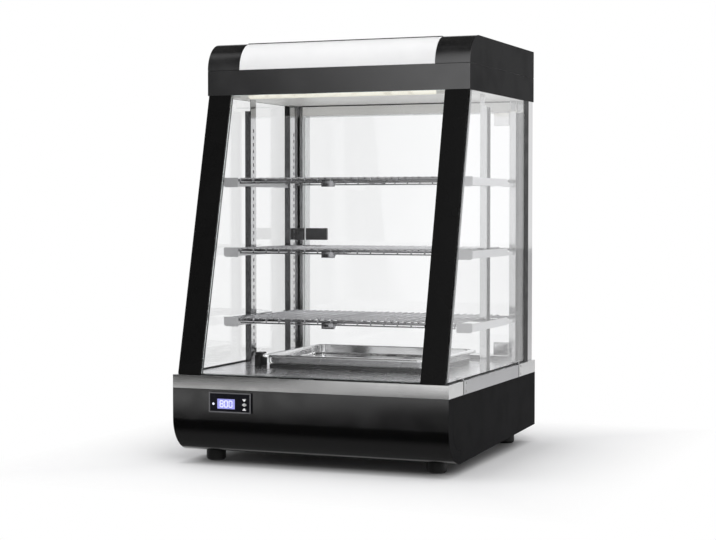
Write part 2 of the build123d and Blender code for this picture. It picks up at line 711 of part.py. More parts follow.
def door_catch():
    """Magnetic catch on the left rear post, beside the grip plate."""
    x_right = DOOR_FREE_X + DOOR_GAP
    return block(
        (x_right - CATCH_WIDTH, x_right),
        (UPRIGHT_REAR_Y + UPRIGHT_REAR_DEPTH + SEAM, FRAME_FRONT),
        (GRIP_Z - GRIP_HEIGHT / 2, GRIP_Z + GRIP_HEIGHT / 2),
    )


def hood_outline(inset):
    """The upper hood seen from the side, its top front edge a quarter round."""
    front = HOOD_FRONT + inset
    top = HOOD_TOP - inset
    height = top - HOOD_SEAM
    middle = Pos((front + HOOD_BACK) / 2, HOOD_SEAM + height / 2)
    face = middle * Rectangle(HOOD_BACK - front, height)
    corner = face.vertices().sort_by(lambda v: v.X - v.Y)[0]
    return fillet(corner, height - SEAM)


def quarter_front(face):
    """The part of the hood outline in front of the flat top."""
    reach = HOOD_TOP - HOOD_SEAM
    window = Pos(HOOD_FRONT + reach / 2, HOOD_SEAM + reach / 2) * Rectangle(reach, reach)
    return face & window


def hood_end():
    """Right end of the upper hood: a side plate with the black end of the quarter round."""
    plate = along_x(hood_outline(0), HOOD_HALF - SHEET, HOOD_HALF)
    curve = quarter_front(hood_outline(0) - hood_outline(SHEET))
    return plate + along_x(curve, SIGN_HALF + SEAM, HOOD_HALF)


def hood_diffuser():
    """Opal quarter round in front of the sign lamp, with no lettering."""
    curve = quarter_front(hood_outline(0) - hood_outline(DIFFUSER))
    return along_x(curve, -SIGN_HALF, SIGN_HALF)


def hood_top_panel():
    """Flat lid of the hood between the end plates."""
    inner = HOOD_HALF - SHEET
    flat_front = HOOD_FRONT + HOOD_TOP - HOOD_SEAM
    return block((-inner, inner), (flat_front, HOOD_BACK - SHEET), (HOOD_TOP - SHEET, HOOD_TOP))


def hood_back_panel():
    """Back of the hood, full height."""
    inner = HOOD_HALF - SHEET
    return block((-inner, inner), (HOOD_BACK - SHEET, HOOD_BACK), (HOOD_BOTTOM, HOOD_TOP))


def hood_valance():
    """Dark strip under the diffuser with a lip turned in at its foot."""
    face = block((-HOOD_HALF, HOOD_HALF), (HOOD_FRONT, HOOD_FRONT + SHEET), (HOOD_BOTTOM, HOOD_SEAM - SEAM))
    lip = block(
        (-HOOD_HALF + SHEET, HOOD_HALF - SHEET),
        (HOOD_FRONT, HOOD_FRONT + VALANCE_LIP),
        (HOOD_BOTTOM, HOOD_BOTTOM + SHEET),
    )
    return face + lip


def hood_side_strip():
    """Right lower strip of the hood, behind the valance."""
    y = (HOOD_FRONT + SHEET, HOOD_BACK)
    return block((HOOD_HALF - SHEET, HOOD_HALF), y, (HOOD_BOTTOM, HOOD_SEAM - SEAM))


def ceiling_panel():
    """Lining over the shelves, from the lamp trough to the back of the hood."""
    inner = HOOD_HALF - SHEET
    return block((-inner, inner), (CEILING_FRONT, HOOD_BACK - SHEET), (HOOD_BOTTOM, HOOD_BOTTOM + SHEET))


def lamp_trough():
    """Folded reflector over the lamp, open downwards, with a holder for each end of the lamp."""
    front = HOOD_FRONT + VALANCE_LIP
    low = HOOD_BOTTOM
    high = HOOD_BOTTOM + TROUGH_HEIGHT
    slope = TROUGH_HEIGHT / 2
    outer = [(front, low), (front + slope, high), (CEILING_FRONT - slope, high), (CEILING_FRONT, low)]
    inner = [
        (front + SHEET, low - CUT),
        (front + slope + SHEET, high - SHEET),
        (CEILING_FRONT - slope - SHEET, high - SHEET),
        (CEILING_FRONT - SHEET, low - CUT),
    ]
    half = HOOD_HALF - SHEET
    trough = side_prism(outer, -half, half) - side_prism(inner, -half - CUT, half + CUT)
    x = (LAMP_HALF, LAMP_HALF + LAMP_HOLDER)
    y = (LAMP_Y - LAMP_RADIUS - SHEET, LAMP_Y + LAMP_RADIUS + SHEET)
    holder = block(x, y, (LAMP_Z - LAMP_RADIUS, high - SHEET))
    return trough + holder + mirrored(holder)


def lamp_tube():
    """Ceiling lamp, a frosted tube between its holders."""
    tube = Cylinder(LAMP_RADIUS, 2 * LAMP_HALF)
    return Pos(0, LAMP_Y, LAMP_Z) * Rot(0, 90, 0) * tube


def sign_lamp():
    """Tube behind the opal quarter round, on two brackets from the trough."""
    z = (HOOD_SEAM + HOOD_TOP) / 2
    tube = Pos(0, SIGN_LAMP_Y, z) * Rot(0, 90, 0) * Cylinder(SIGN_LAMP_RADIUS, 2 * SIGN_LAMP_HALF)
    foot_z = HOOD_BOTTOM + TROUGH_HEIGHT
    x = (SIGN_LAMP_HALF - LAMP_HOLDER, SIGN_LAMP_HALF)
    y = (SIGN_LAMP_Y - SIGN_LAMP_RADIUS - SHEET, SIGN_LAMP_Y)
    bracket = block(x, y, (foot_z, z))
    return tube + bracket + mirrored(bracket)


def stud_places():
    """The four studs of the heat plate."""
    x_right = PLATE_LENGTH / 2 - STUD_INSET
    y_back = PLATE_DEPTH / 2 - STUD_INSET
    return [(x, TRAY_Y + y) for x in (-x_right, x_right) for y in (-y_back, y_back)]


def heat_plate():
    """Cast heating plate on the deck, with studs down through it."""
    plate = block(
        (-PLATE_LENGTH / 2, PLATE_LENGTH / 2),
        (TRAY_Y - PLATE_DEPTH / 2, TRAY_Y + PLATE_DEPTH / 2),
        (DECK_TOP, TRAY_BOTTOM - LIFT_GAP),
    )
    plate = fillet(plate.edges().filter_by(Axis.Z), STUD_RADIUS)
    for x, y in stud_places():
        stud = Cylinder(STUD_RADIUS, STUD_LENGTH, align=(Align.CENTER, Align.CENTER, Align.MAX))
        plate += Pos(x, y, DECK_TOP) * stud
    return plate


def insulation_board():
    """Board under the deck that keeps the heat out of the base, drilled for the studs."""
    top = DECK_TOP - SHEET
    board = block(
        (-PLATE_LENGTH / 2, PLATE_LENGTH / 2),
        (TRAY_Y - PLATE_DEPTH / 2, TRAY_Y + PLATE_DEPTH / 2),
        (top - INSULATION, top),
    )
    for x, y in stud_places():
        board -= Pos(x, y, top) * Cylinder(STUD_RADIUS + INSULATION_GAP, 2 * (INSULATION + CUT))
    return board


def tray_shape(length, depth, corner, z_low, z_high):
    """A prism with rounded upright edges, centred on the tray."""
    face = Pos(0, TRAY_Y) * RectangleRounded(length, depth, corner)
    return extrude(Plane.XY.offset(z_low) * face, amount=z_high - z_low)


def food_tray():
    """Shallow pan with a wide flat rim, its edge turned down."""
    well_length = TRAY_LENGTH - 2 * TRAY_RIM
    well_depth = TRAY_DEPTH - 2 * TRAY_RIM
    rim = tray_shape(TRAY_LENGTH, TRAY_DEPTH, TRAY_CORNER, TRAY_TOP - TRAY_ROLL, TRAY_TOP)
    rim -= tray_shape(
        TRAY_LENGTH - 2 * TRAY_SHEET,
        TRAY_DEPTH - 2 * TRAY_SHEET,
        TRAY_CORNER - TRAY_SHEET,
        TRAY_TOP - TRAY_ROLL - CUT,
        TRAY_TOP - TRAY_SHEET,
    )
    well_corner = TRAY_CORNER - TRAY_RIM
    well = tray_shape(well_length, well_depth, well_corner, TRAY_BOTTOM, TRAY_TOP)
    inside = tray_shape(
        well_length - 2 * TRAY_SHEET,
        well_depth - 2 * TRAY_SHEET,
        well_corner - TRAY_SHEET,
        TRAY_BOTTOM + TRAY_SHEET,
        TRAY_TOP + CUT,
    )
    return rim + well - inside


def guard_outline(inset):
    """The probe guard seen from the side, drawn in by an inset."""
    half = PROBE_LENGTH / 2 - inset
    top = PROBE_HEIGHT - inset
    rear = [(half, 0), (half, top - PROBE_BEVEL), (half - PROBE_BEVEL, top)]
    outline = [(-y, z) for y, z in rear] + rear[::-1]
    return [(PROBE_Y + y, DECK_TOP + z) for y, z in outline]


def probe_guard():
    """Folded guard over the temperature probe, on the deck beside the tray."""
    half = PROBE_WIDTH / 2
    shell = side_prism(guard_outline(0), PROBE_X - half, PROBE_X + half)
    return shell - side_prism(guard_outline(SHEET), PROBE_X - half + SHEET, PROBE_X + half - SHEET)


def controller_bezel():
    """Front frame of the controller with its window recess and three key holes."""
    face = Pos(CONTROLLER_X, CONTROLLER_Z) * RectangleRounded(BEZEL_WIDTH, BEZEL_HEIGHT, BEZEL_ROUND)
    face -= Pos(WINDOW_X, WINDOW_Z) * Rectangle(WINDOW_WIDTH, WINDOW_HEIGHT)
    face -= Pos(LED_X, LED_Z) * Circle(LED_RADIUS)
    for place in range(KEY_COUNT):
        face -= key_outline(place, KEY_FIT)
    return extrude(front_plane(BEZEL_PROUD) * face, amount=-BEZEL_PROUD)


def front_plane(proud):
    """A plane parallel to the front of the base, seen as the customer sees it."""
    return Plane(origin=(0, BASE_FRONT - proud, 0), x_dir=(1, 0, 0), z_dir=(0, -1, 0))


def key_outline(place, fit):
    """The outline of one key, counted from the bottom, grown by a fit."""
    z = KEY_Z + (place - (KEY_COUNT - 1) / 2) * KEY_PITCH
    return Pos(KEY_X, z) * RectangleRounded(KEY_WIDTH + 2 * fit, KEY_HEIGHT + 2 * fit, KEY_ROUND)


def controller_body():
    """Housing of the controller behind the front sheet."""
    face = Pos(CONTROLLER_X, CONTROLLER_Z) * Rectangle(BODY_WIDTH, BODY_HEIGHT)
    return extrude(front_plane(0) * face, amount=-BODY_DEPTH)


def controller_display():
    """Display window and indicator lens, let into the bezel."""
    window = Pos(WINDOW_X, WINDOW_Z) * Rectangle(WINDOW_WIDTH, WINDOW_HEIGHT)
    lens = Pos(LED_X, LED_Z) * Circle(LED_RADIUS)
    depth = BEZEL_PROUD - WINDOW_DEPTH
    pane = extrude(front_plane(depth) * window, amount=-depth)
    light = extrude(front_plane(BEZEL_PROUD) * lens, amount=-BEZEL_PROUD)
    return Compound([pane, light])


def key(place):
    """One sprung key, with room behind it for its travel."""
    back = KEY_TRAVEL + KEY_FIT
    depth = BEZEL_PROUD + KEY_PROUD - back
    return extrude(front_plane(BEZEL_PROUD + KEY_PROUD) * key_outline(place, 0), amount=-depth)


def back_plane(proud):
    """A plane parallel to the back of the base, facing +Y."""
    return Plane(origin=(0, BASE_BACK + proud, 0), x_dir=(-1, 0, 0), z_dir=(0, 1, 0))


def power_inlet():
    """Mains inlet with its flange, socket well and three blades."""
    place = Pos(-INLET_X, INLET_Z)
    flange_face = place * RectangleRounded(INLET_FLANGE, INLET_FLANGE_HEIGHT, INLET_CORNER)
    flange = extrude(back_plane(0) * flange_face, INLET_PROUD)
    body = extrude(back_plane(0) * (place * Rectangle(INLET_WIDTH, INLET_HEIGHT)), -INLET_BODY)
    well_width = INLET_WIDTH - 2 * SOCKET_WALL
    well_height = INLET_HEIGHT - 2 * SOCKET_WALL
    well_plane = back_plane(INLET_PROUD)
    well = extrude(well_plane * (place * Rectangle(well_width, well_height)), -SOCKET_DEPTH)
    solid = flange + body - well
    for dx, dz in ((-BLADE_SPREAD, -BLADE_RISE), (BLADE_SPREAD, -BLADE_RISE), (0, BLADE_RISE)):
        blade = Pos(-INLET_X + dx, INLET_Z + dz) * Rectangle(BLADE_WIDTH, BLADE_HEIGHT)
        solid += extrude(back_plane(INLET_PROUD - SOCKET_DEPTH) * blade, BLADE_LENGTH)
    return solid


def switch_frame():
    """Frame of the rocker switch, with the well and pin bores for the rocker."""
    place = Pos(-SWITCH_X, INLET_Z)
    rim = Rectangle(SWITCH_WIDTH + 2 * SWITCH_RIM, SWITCH_HEIGHT + 2 * SWITCH_RIM)
    solid = extrude(back_plane(0) * (place * rim), SWITCH_PROUD)
    solid += extrude(back_plane(0) * (place * Rectangle(SWITCH_WIDTH, SWITCH_HEIGHT)), -SWITCH_BODY)
    well = Rectangle(SWITCH_WIDTH - 2 * SWITCH_RIM, SWITCH_HEIGHT - 2 * SWITCH_RIM)
    solid -= extrude(back_plane(SWITCH_PROUD) * (place * well), -SWITCH_BODY / 2)
    bore = Rot(0, 90, 0) * Cylinder(ROCKER_PIN + PIN_CLEARANCE, SWITCH_WIDTH - SWITCH_RIM)
    return solid - Pos(SWITCH_X, BASE_BACK, INLET_Z) * bore


def switch_rocker():
    """Rocker of the switch on two stub pins, tilted so that its top is pressed."""
    end = SWITCH_HEIGHT / 2 - SWITCH_RIM - ROCKER_FIT - ROCKER_SWING
    half_width = SWITCH_WIDTH / 2 - SWITCH_RIM - ROCKER_FIT
    dip = ROCKER_END - ROCKER_DIP
    outline = [(ROCKER_END, end), (0, end), (-ROCKER_BACK, end / 2)]
    outline += [(y, -z) for y, z in reversed(outline)] + [(dip, 0)]
    rocker = side_prism(outline, -half_width, half_width)
    pin = Rot(0, 90, 0) * Cylinder(ROCKER_PIN, SWITCH_WIDTH - SWITCH_RIM - 2 * PIN_CLEARANCE)
    return Pos(SWITCH_X, BASE_BACK, INLET_Z) * Rot(ROCKER_TILT, 0, 0) * (rocker + pin)


def build():
    """Every piece of the case by name."""
    parts = {
        "base_front_panel": base_front_panel(),
        "base_side_right": base_side(),
        "base_side_left": mirrored(base_side()),
        "base_floor": base_floor(),
        "base_back_panel": base_back_panel(),
        "feet": feet(),
        "deck_plate": deck_plate(),
        "trim_front": trim_end(BASE_FRONT, TRIM_FRONT_END, (BASE_FRONT, BASE_FRONT + SHEET)),
        "trim_rear": trim_end(TRIM_REAR_START, BASE_BACK, (BASE_BACK - SHEET, BASE_BACK)),
        "trim_side_right": trim_side(),
        "trim_side_left": mirrored(trim_side()),
        "post_right": post(),
        "post_left": mirrored(post()),
        "front_glass": front_glass(),
        "side_glass_right": side_glass(),
        "side_glass_left": mirrored(side_glass()),
        "glass_seals": glass_seals(),
        "rear_post_right": rear_post(),
        "rear_post_left": mirrored(rear_post()),
        "rear_header": frame_bar(HEADER_BOTTOM, HOOD_BOTTOM),
        "rear_sill": frame_bar(SILL_TOP, DECK_TOP),
        "door_glass": door_glass(),
        "door_hinges": door_hinges(),
        "door_handle": door_handle(),
        "door_catch": door_catch(),
        "hood_valance": hood_valance(),
        "hood_side_strip_right": hood_side_strip(),
        "hood_side_strip_left": mirrored(hood_side_strip()),
        "hood_end_right": hood_end(),
        "hood_end_left": mirrored(hood_end()),
        "hood_diffuser": hood_diffuser(),
        "hood_top_panel": hood_top_panel(),
        "hood_back_panel": hood_back_panel(),
        "ceiling_panel": ceiling_panel(),
        "lamp_trough": lamp_trough(),
        "lamp_tube": lamp_tube(),
        "sign_lamp": sign_lamp(),
        "heat_plate": heat_plate(),
        "insulation_board": insulation_board(),
        "food_tray": food_tray(),
        "probe_guard": probe_guard(),
        "controller_bezel": controller_bezel(),
        "controller_body": controller_body(),
        "controller_display": controller_display(),
        "power_inlet": power_inlet(),
        "switch_frame": switch_frame(),
        "switch_rocker": switch_rocker(),
    }
    front = upright(UPRIGHT_FRONT_Y, UPRIGHT_FRONT_DEPTH)
    rear = upright(UPRIGHT_REAR_Y, UPRIGHT_REAR_DEPTH)
    parts |= {"upright_front_right": front, "upright_front_left": mirrored(front)}
    parts |= {"upright_rear_right": rear, "upright_rear_left": mirrored(rear)}
    for place, name in enumerate(("key_down", "key_set", "key_up")):
        parts[name] = key(place)
    wire_shelf = shelf(SHELF_FIRST)
    arms = shelf_arms(SHELF_FIRST)
    for level in range(SHELF_COUNT):
        raised = Pos(0, 0, level * SHELF_SPACING)
        parts[f"shelf_{level + 1}"] = raised * wire_shelf
        parts[f"shelf_arms_{level + 1}"] = raised * arms
    return parts


def main():
    """Writes one STEP file for every piece."""
    os.makedirs("parts", exist_ok=True)
    for name, part in build().items():
        part.label = name
        export_step(part, f"parts/{name}.step")


main()
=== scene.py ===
"""Countertop heated display case: its finishes, small fixings and studio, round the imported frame."""

import json
import logging
import math
from collections.abc import Callable
from dataclasses import dataclass, field
from enum import Enum

import bmesh
import bpy
from mathutils import Matrix, Vector


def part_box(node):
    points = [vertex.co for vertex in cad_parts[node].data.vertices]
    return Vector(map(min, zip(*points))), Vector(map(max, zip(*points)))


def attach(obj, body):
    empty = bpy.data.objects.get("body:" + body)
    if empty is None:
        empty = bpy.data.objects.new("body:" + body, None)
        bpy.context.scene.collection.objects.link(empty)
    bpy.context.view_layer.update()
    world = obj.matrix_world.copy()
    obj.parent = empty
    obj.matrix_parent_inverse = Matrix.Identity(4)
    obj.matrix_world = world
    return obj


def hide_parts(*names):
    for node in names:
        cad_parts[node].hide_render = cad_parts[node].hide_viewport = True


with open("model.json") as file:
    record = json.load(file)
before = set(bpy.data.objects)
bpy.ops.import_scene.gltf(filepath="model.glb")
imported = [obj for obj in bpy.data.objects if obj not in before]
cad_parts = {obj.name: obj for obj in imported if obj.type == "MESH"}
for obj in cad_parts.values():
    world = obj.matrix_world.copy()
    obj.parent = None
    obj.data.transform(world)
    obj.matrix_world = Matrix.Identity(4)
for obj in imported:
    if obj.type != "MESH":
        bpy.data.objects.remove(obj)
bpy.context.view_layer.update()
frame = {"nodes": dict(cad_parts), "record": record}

LOG = logging.getLogger("display_case")
MM = 0.001
MERGE = 1e-6
QUARTER_TURN = math.pi / 2
FULL_TURN = 2 * math.pi
HARD_EDGE = math.radians(28)
FLAT = math.radians(0.4)
SQUARE_ON = 0.9
AHEAD = Vector((0, -1, 0))
BACK = Vector((0, 1, 0))
SIDES = (("right", 1), ("left", -1))
FLOAT = "NodeSocketFloat"
VECTOR = "NodeSocketVector"
COLOUR = "NodeSocketColor"

Colour = tuple[float, float, float, float]
Span = tuple[float, float]
Pair = tuple[float, float]
Triple = tuple[float, float, float]
Node = bpy.types.Node
Socket = bpy.types.NodeSocket
Parts = bpy.types.bpy_prop_collection
Material = bpy.types.Material
Mesh = bmesh.types.BMesh
Vert = bmesh.types.BMVert
Face = bmesh.types.BMFace

WHITE: Colour = (1.0, 1.0, 1.0, 1.0)


class Slot(Enum):
    """Material slots of the record."""

    BLACK_STEEL = "black_steel"
    STAINLESS = "stainless"
    POLISHED = "polished_stainless"
    WIRE = "chrome_wire"
    GLASS = "clear_glass"
    OPAL = "opal_plastic"
    SEAL = "seal_rubber"
    BLACK_PLASTIC = "black_plastic"
    BEZEL = "bezel_plastic"
    DISPLAY = "display_lens"
    KEY = "key_plastic"
    CAST = "cast_plate"


class Grain(Enum):
    """Stretch of a brushed grain along each axis, so that its lines run along one of them."""

    ALONG_X = (14.0, 1600.0, 1600.0)
    ALONG_Y = (1600.0, 14.0, 1600.0)
    ALONG_Z = (1600.0, 1600.0, 14.0)


class Effect(Enum):
    """Shader groups that more than one finish uses."""

    GRAIN = "brushed_grain"
    SMUDGE = "handling_smudges"
    DUST = "settled_dust"
    SPECKLE = "fine_speckle"
    SCRATCH = "hairline_scratches"


class Head(Enum):
    """Heads of fixings, as shares of their radius and height from the middle to the rim."""

    DOMED = ((0.0, 1.0), (0.45, 0.93), (0.8, 0.66), (0.97, 0.25), (1.0, 0.0))
    SOCKET = ((0.0, 0.35), (0.42, 0.35), (0.46, 0.95), (0.6, 0.98), (0.85, 0.7), (0.98, 0.25), (1.0, 0.0))

    def profile(self, radius: float, height: float) -> list[Pair]:
        """The profile of a head of a given size.

        Args:
            radius: The head's radius, in millimetres.
            height: The head's height, in millimetres.

        Returns:
            Pairs of radius and height, in metres.
        """
        return [(radius * share * MM, height * rise * MM) for share, rise in self.value]


def grey(level: float) -> Colour:
    """A neutral colour."""
    return (level, level, level, 1.0)


def scaled(colour: Colour, factor: float) -> Colour:
    """A lighter or darker copy of a colour, up to white."""
    return tuple(min(1.0, part * factor) for part in colour[:3]) + (1.0,)


class ShaderTree:
    """Places and wires the nodes of one shader tree."""

    def __init__(self, tree: bpy.types.NodeTree) -> None:
        """Keeps the tree that the nodes go into.

        Args:
            tree: The tree of a material, a world or a group.
        """
        self.tree = tree

    def node(self, kind: str, **settings: object) -> Node:
        """Adds a node.

        Args:
            kind: The node's type, such as ShaderNodeMath.
            settings: Properties to set on it.

        Returns:
            The new node.
        """
        made = self.tree.nodes.new(kind)
        for name, value in settings.items():
            setattr(made, name, value)
        return made

    def feed(self, target: Socket, value: object) -> None:
        """Wires a socket into an input, or sets a constant on it.

        Args:
            target: The input.
            value: An output socket or a constant.
        """
        if isinstance(value, Socket):
            self.tree.links.new(value, target)
        else:
            target.default_value = value

    def fill(self, made: Node, **values: object) -> None:
        """Feeds several inputs of a node.

        Args:
            made: The node.
            values: Sockets or constants by the input's name, with _ for a space.
        """
        for name, value in values.items():
            self.feed(made.inputs[name.replace("_", " ")], value)

    def math(self, operation: str, *values: object) -> Socket:
        """Adds a Math node.

        Args:
            operation: The operation, such as MAXIMUM.
            values: Sockets or constants for its inputs.

        Returns:
            The result socket.
        """
        made = self.node("ShaderNodeMath", operation=operation)
        for target, value in zip(made.inputs, values):
            self.feed(target, value)
        return made.outputs[0]

    def times(self, product: Socket, *factors: object) -> Socket:
        """Multiplies a value by one factor after another.

        Args:
            product: The value.
            factors: Sockets or constants.

        Returns:
            The product's socket.
        """
        for factor in factors:
            product = self.math("MULTIPLY", product, factor)
        return product

    def noise(self, vector: Socket, scale: object, detail: float = 3.0) -> Socket:
        """Adds a noise texture.

        Args:
            vector: The coordinates.
            scale: Its scale, a socket or a constant.
            detail: How many octaves it has.

        Returns:
            The factor socket, from 0 to 1.
        """
        made = self.node("ShaderNodeTexNoise")
        self.fill(made, Vector=vector, Scale=scale, Detail=detail)
        return made.outputs["Fac"]

    def spread(
        self, value: object, low: float, high: float, to_low: float = 0.0, to_high: float = 1.0
    ) -> Socket:
        """Maps a range of values to another, and clamps it.

        Args:
            value: The value to map.
            low: Start of the range that is read.
            high: End of the range that is read.
            to_low: What the start becomes.
            to_high: What the end becomes.

        Returns:
            The mapped socket.
        """
        made = self.node("ShaderNodeMapRange", clamp=True)
        for target, given in zip(made.inputs, (value, low, high, to_low, to_high)):
            self.feed(target, given)
        return made.outputs["Result"]

    def blend(self, share: object, first: object, second: object) -> Socket:
        """Mixes two colours.

        Args:
            share: How much of the second colour shows.
            first: The colour at share 0.
            second: The colour at share 1.

        Returns:
            The colour socket.
        """
        made = self.node("ShaderNodeMix", data_type="RGBA", blend_type="MIX")
        for name, value in (("Factor_Float", share), ("A_Color", first), ("B_Color", second)):
            self.feed(next(s for s in made.inputs if s.identifier == name), value)
        return next(s for s in made.outputs if s.identifier == "Result_Color")

    def ramp(self, value: object, span: Span, first: object, second: object) -> Socket:
        """Goes over from one colour to another as a value rises.

        Args:
            value: The value.
            span: Where the first colour ends and where the second is full.
            first: The colour below the span.
            second: The colour above the span.

        Returns:
            The colour socket.
        """
        return self.blend(self.spread(value, *span), first, second)

    def effect(self, effect: Effect, **values: object) -> Node:
        """Places a shared group.

        Args:
            effect: Which group.
            values: Its inputs by name, with _ for a space.

        Returns:
            The group node.
        """
        made = self.node("ShaderNodeGroup", node_tree=bpy.data.node_groups[effect.value])
        self.fill(made, **values)
        return made

    def smudged(self, vector: Socket, scale: float, amount: float, roughness: object) -> Node:
        """Places the group of handling smudges.

        Args:
            vector: The coordinates.
            scale: The scale of its patches.
            amount: How much rougher a patch is.
            roughness: The roughness elsewhere, a socket or a constant.

        Returns:
            The group node.
        """
        return self.effect(Effect.SMUDGE, Vector=vector, Scale=scale, Amount=amount, Roughness=roughness)

    def split(self, vector: Socket) -> Parts:
        """Takes a vector apart.

        Args:
            vector: The vector.

        Returns:
            The sockets of its parts, by the names X, Y and Z.
        """
        made = self.node("ShaderNodeSeparateXYZ")
        self.fill(made, Vector=vector)
        return made.outputs

    def upward(self) -> Socket:
        """How far a face looks up, from -1 to 1."""
        return self.split(self.node("ShaderNodeNewGeometry").outputs["Normal"])["Z"]

    def bump(self, shader: Node, height: Socket, depth: float, strength: float) -> None:
        """Feeds a height into the shader's normal.

        Args:
            shader: The shader that takes the normal.
            height: The height socket.
            depth: The depth of the relief, in metres.
            strength: The share of it that shows.
        """
        relief = self.node("ShaderNodeBump")
        self.fill(relief, Distance=depth, Strength=strength, Height=height)
        self.fill(shader, Normal=relief.outputs["Normal"])

    def surface(self, share: object, first: Node, second: Node) -> None:
        """Mixes two shaders into the surface of the material.

        Args:
            share: How much of the second shader shows.
            first: The shader at share 0.
            second: The shader at share 1.
        """
        mixed = self.node("ShaderNodeMixShader")
        for target, value in zip(mixed.inputs, (share, first.outputs[0], second.outputs[0])):
            self.feed(target, value)
        output = next(n for n in self.tree.nodes if n.type == "OUTPUT_MATERIAL")
        self.fill(output, Surface=mixed.outputs[0])


@dataclass(frozen=True)
class EffectLibrary:
    """Builds the shader groups once. A span is a range of the noise that an effect is made from."""

    fine_share: float = 0.6
    broad_scale: float = 0.12
    grain_span: Span = (0.35, 0.65)
    grain_swing: float = 0.03
    smudge_span: Span = (0.45, 0.7)
    dust_scale: float = 60.0
    dust_span: Span = (0.35, 0.75)
    dust_least: float = 0.2
    dust_slope: Span = (0.2, 1.0)  # of how far a face looks up
    speckle_span: Span = (0.3, 0.7)
    scratch_width: float = 0.006
    scratch_patches: float = 35.0
    scratch_span: Span = (0.5, 0.6)

    def build(self) -> None:
        """Builds every group."""
        self.grain()
        self.smudge()
        self.dust()
        self.speckle()
        self.scratch()

    def start(
        self, effect: Effect, inputs: dict[str, str], outputs: dict[str, str]
    ) -> tuple[ShaderTree, dict[str, Socket], dict[str, Socket]]:
        """Starts a group with named sockets.

        Args:
            effect: Which group.
            inputs: Socket type by input name.
            outputs: Socket type by output name.

        Returns:
            The tree, its inner input sockets by name, and its inner output sockets by name.
        """
        group = bpy.data.node_groups.new(effect.value, "ShaderNodeTree")
        for name, kind in inputs.items():
            group.interface.new_socket(name, in_out="INPUT", socket_type=kind)
        for name, kind in outputs.items():
            group.interface.new_socket(name, in_out="OUTPUT", socket_type=kind)
        tree = ShaderTree(group)
        entry = tree.node("NodeGroupInput").outputs
        leave = tree.node("NodeGroupOutput").inputs
        return tree, {n: entry[n] for n in inputs}, {n: leave[n] for n in outputs}

    def grain(self) -> None:
        """Fine parallel lines of brushed steel, with broader bands under them."""
        tree, given, out = self.start(
            Effect.GRAIN,
            {"Vector": VECTOR, "Stretch": VECTOR, "Roughness": FLOAT},
            {"Tone": FLOAT, "Roughness": FLOAT, "Height": FLOAT},
        )
        stretched = tree.node("ShaderNodeVectorMath", operation="MULTIPLY")
        tree.feed(stretched.inputs[0], given["Vector"])
        tree.feed(stretched.inputs[1], given["Stretch"])
        fine = tree.noise(stretched.outputs[0], scale=1.0, detail=2.0)
        broad = tree.noise(stretched.outputs[0], self.broad_scale, detail=2.0)
        tone = tree.math("ADD", tree.times(fine, self.fine_share), tree.times(broad, 1 - self.fine_share))
        swing = tree.spread(tone, *self.grain_span, -self.grain_swing, self.grain_swing)
        tree.feed(out["Tone"], tone)
        tree.feed(out["Roughness"], tree.math("ADD", given["Roughness"], swing))
        tree.feed(out["Height"], fine)

    def smudge(self) -> None:
        """Patches that were handled or wiped, a little rougher than the rest."""
        tree, given, out = self.start(
            Effect.SMUDGE,
            {"Vector": VECTOR, "Scale": FLOAT, "Amount": FLOAT, "Roughness": FLOAT},
            {"Mask": FLOAT, "Roughness": FLOAT},
        )
        mask = tree.spread(tree.noise(given["Vector"], given["Scale"], detail=4.0), *self.smudge_span)
        tree.feed(out["Mask"], mask)
        tree.feed(out["Roughness"], tree.math("MULTIPLY_ADD", mask, given["Amount"], given["Roughness"]))

    def dust(self) -> None:
        """Dust that settles on whatever faces up."""
        tree, given, out = self.start(
            Effect.DUST,
            {"Colour": COLOUR, "Dust Colour": COLOUR, "Vector": VECTOR, "Upward": FLOAT, "Amount": FLOAT},
            {"Colour": COLOUR},
        )
        clouds = tree.noise(given["Vector"], self.dust_scale, detail=5.0)
        patches = tree.spread(clouds, *self.dust_span, self.dust_least, 1.0)
        share = tree.times(patches, tree.spread(given["Upward"], *self.dust_slope), given["Amount"])
        tree.feed(out["Colour"], tree.blend(share, given["Colour"], given["Dust Colour"]))

    def speckle(self) -> None:
        """Fine speckle of powder coat or moulded plastic."""
        tree, given, out = self.start(
            Effect.SPECKLE, {"Vector": VECTOR, "Scale": FLOAT}, {"Tone": FLOAT, "Height": FLOAT}
        )
        height = tree.noise(given["Vector"], given["Scale"], detail=2.0)
        tree.feed(out["Height"], height)
        tree.feed(out["Tone"], tree.spread(height, *self.speckle_span))

    def scratch(self) -> None:
        """Sparse hairline scratches that wander across a polished face."""
        tree, given, out = self.start(
            Effect.SCRATCH, {"Vector": VECTOR, "Scale": FLOAT, "Amount": FLOAT}, {"Mask": FLOAT}
        )
        lines = tree.noise(given["Vector"], given["Scale"], detail=1.0)
        off_line = tree.math("ABSOLUTE", tree.math("SUBTRACT", lines, 0.5))
        thin = tree.spread(off_line, 0.0, self.scratch_width, 1.0, 0.0)
        patches = tree.noise(given["Vector"], self.scratch_patches, detail=2.0)
        sparse = tree.spread(patches, *self.scratch_span)
        tree.feed(out["Mask"], tree.times(thin, sparse, given["Amount"]))


def start_material(name: str) -> tuple[Material, ShaderTree, Node, Socket]:
    """Starts a material with a Principled shader.

    Args:
        name: The material's name.

    Returns:
        The material, its tree, its Principled node and the object coordinates, in metres.
    """
    material = bpy.data.materials.new(name)
    material.use_nodes = True
    tree = ShaderTree(material.node_tree)
    shader = next(n for n in material.node_tree.nodes if n.type == "BSDF_PRINCIPLED")
    return material, tree, shader, tree.node("ShaderNodeTexCoord").outputs["Object"]


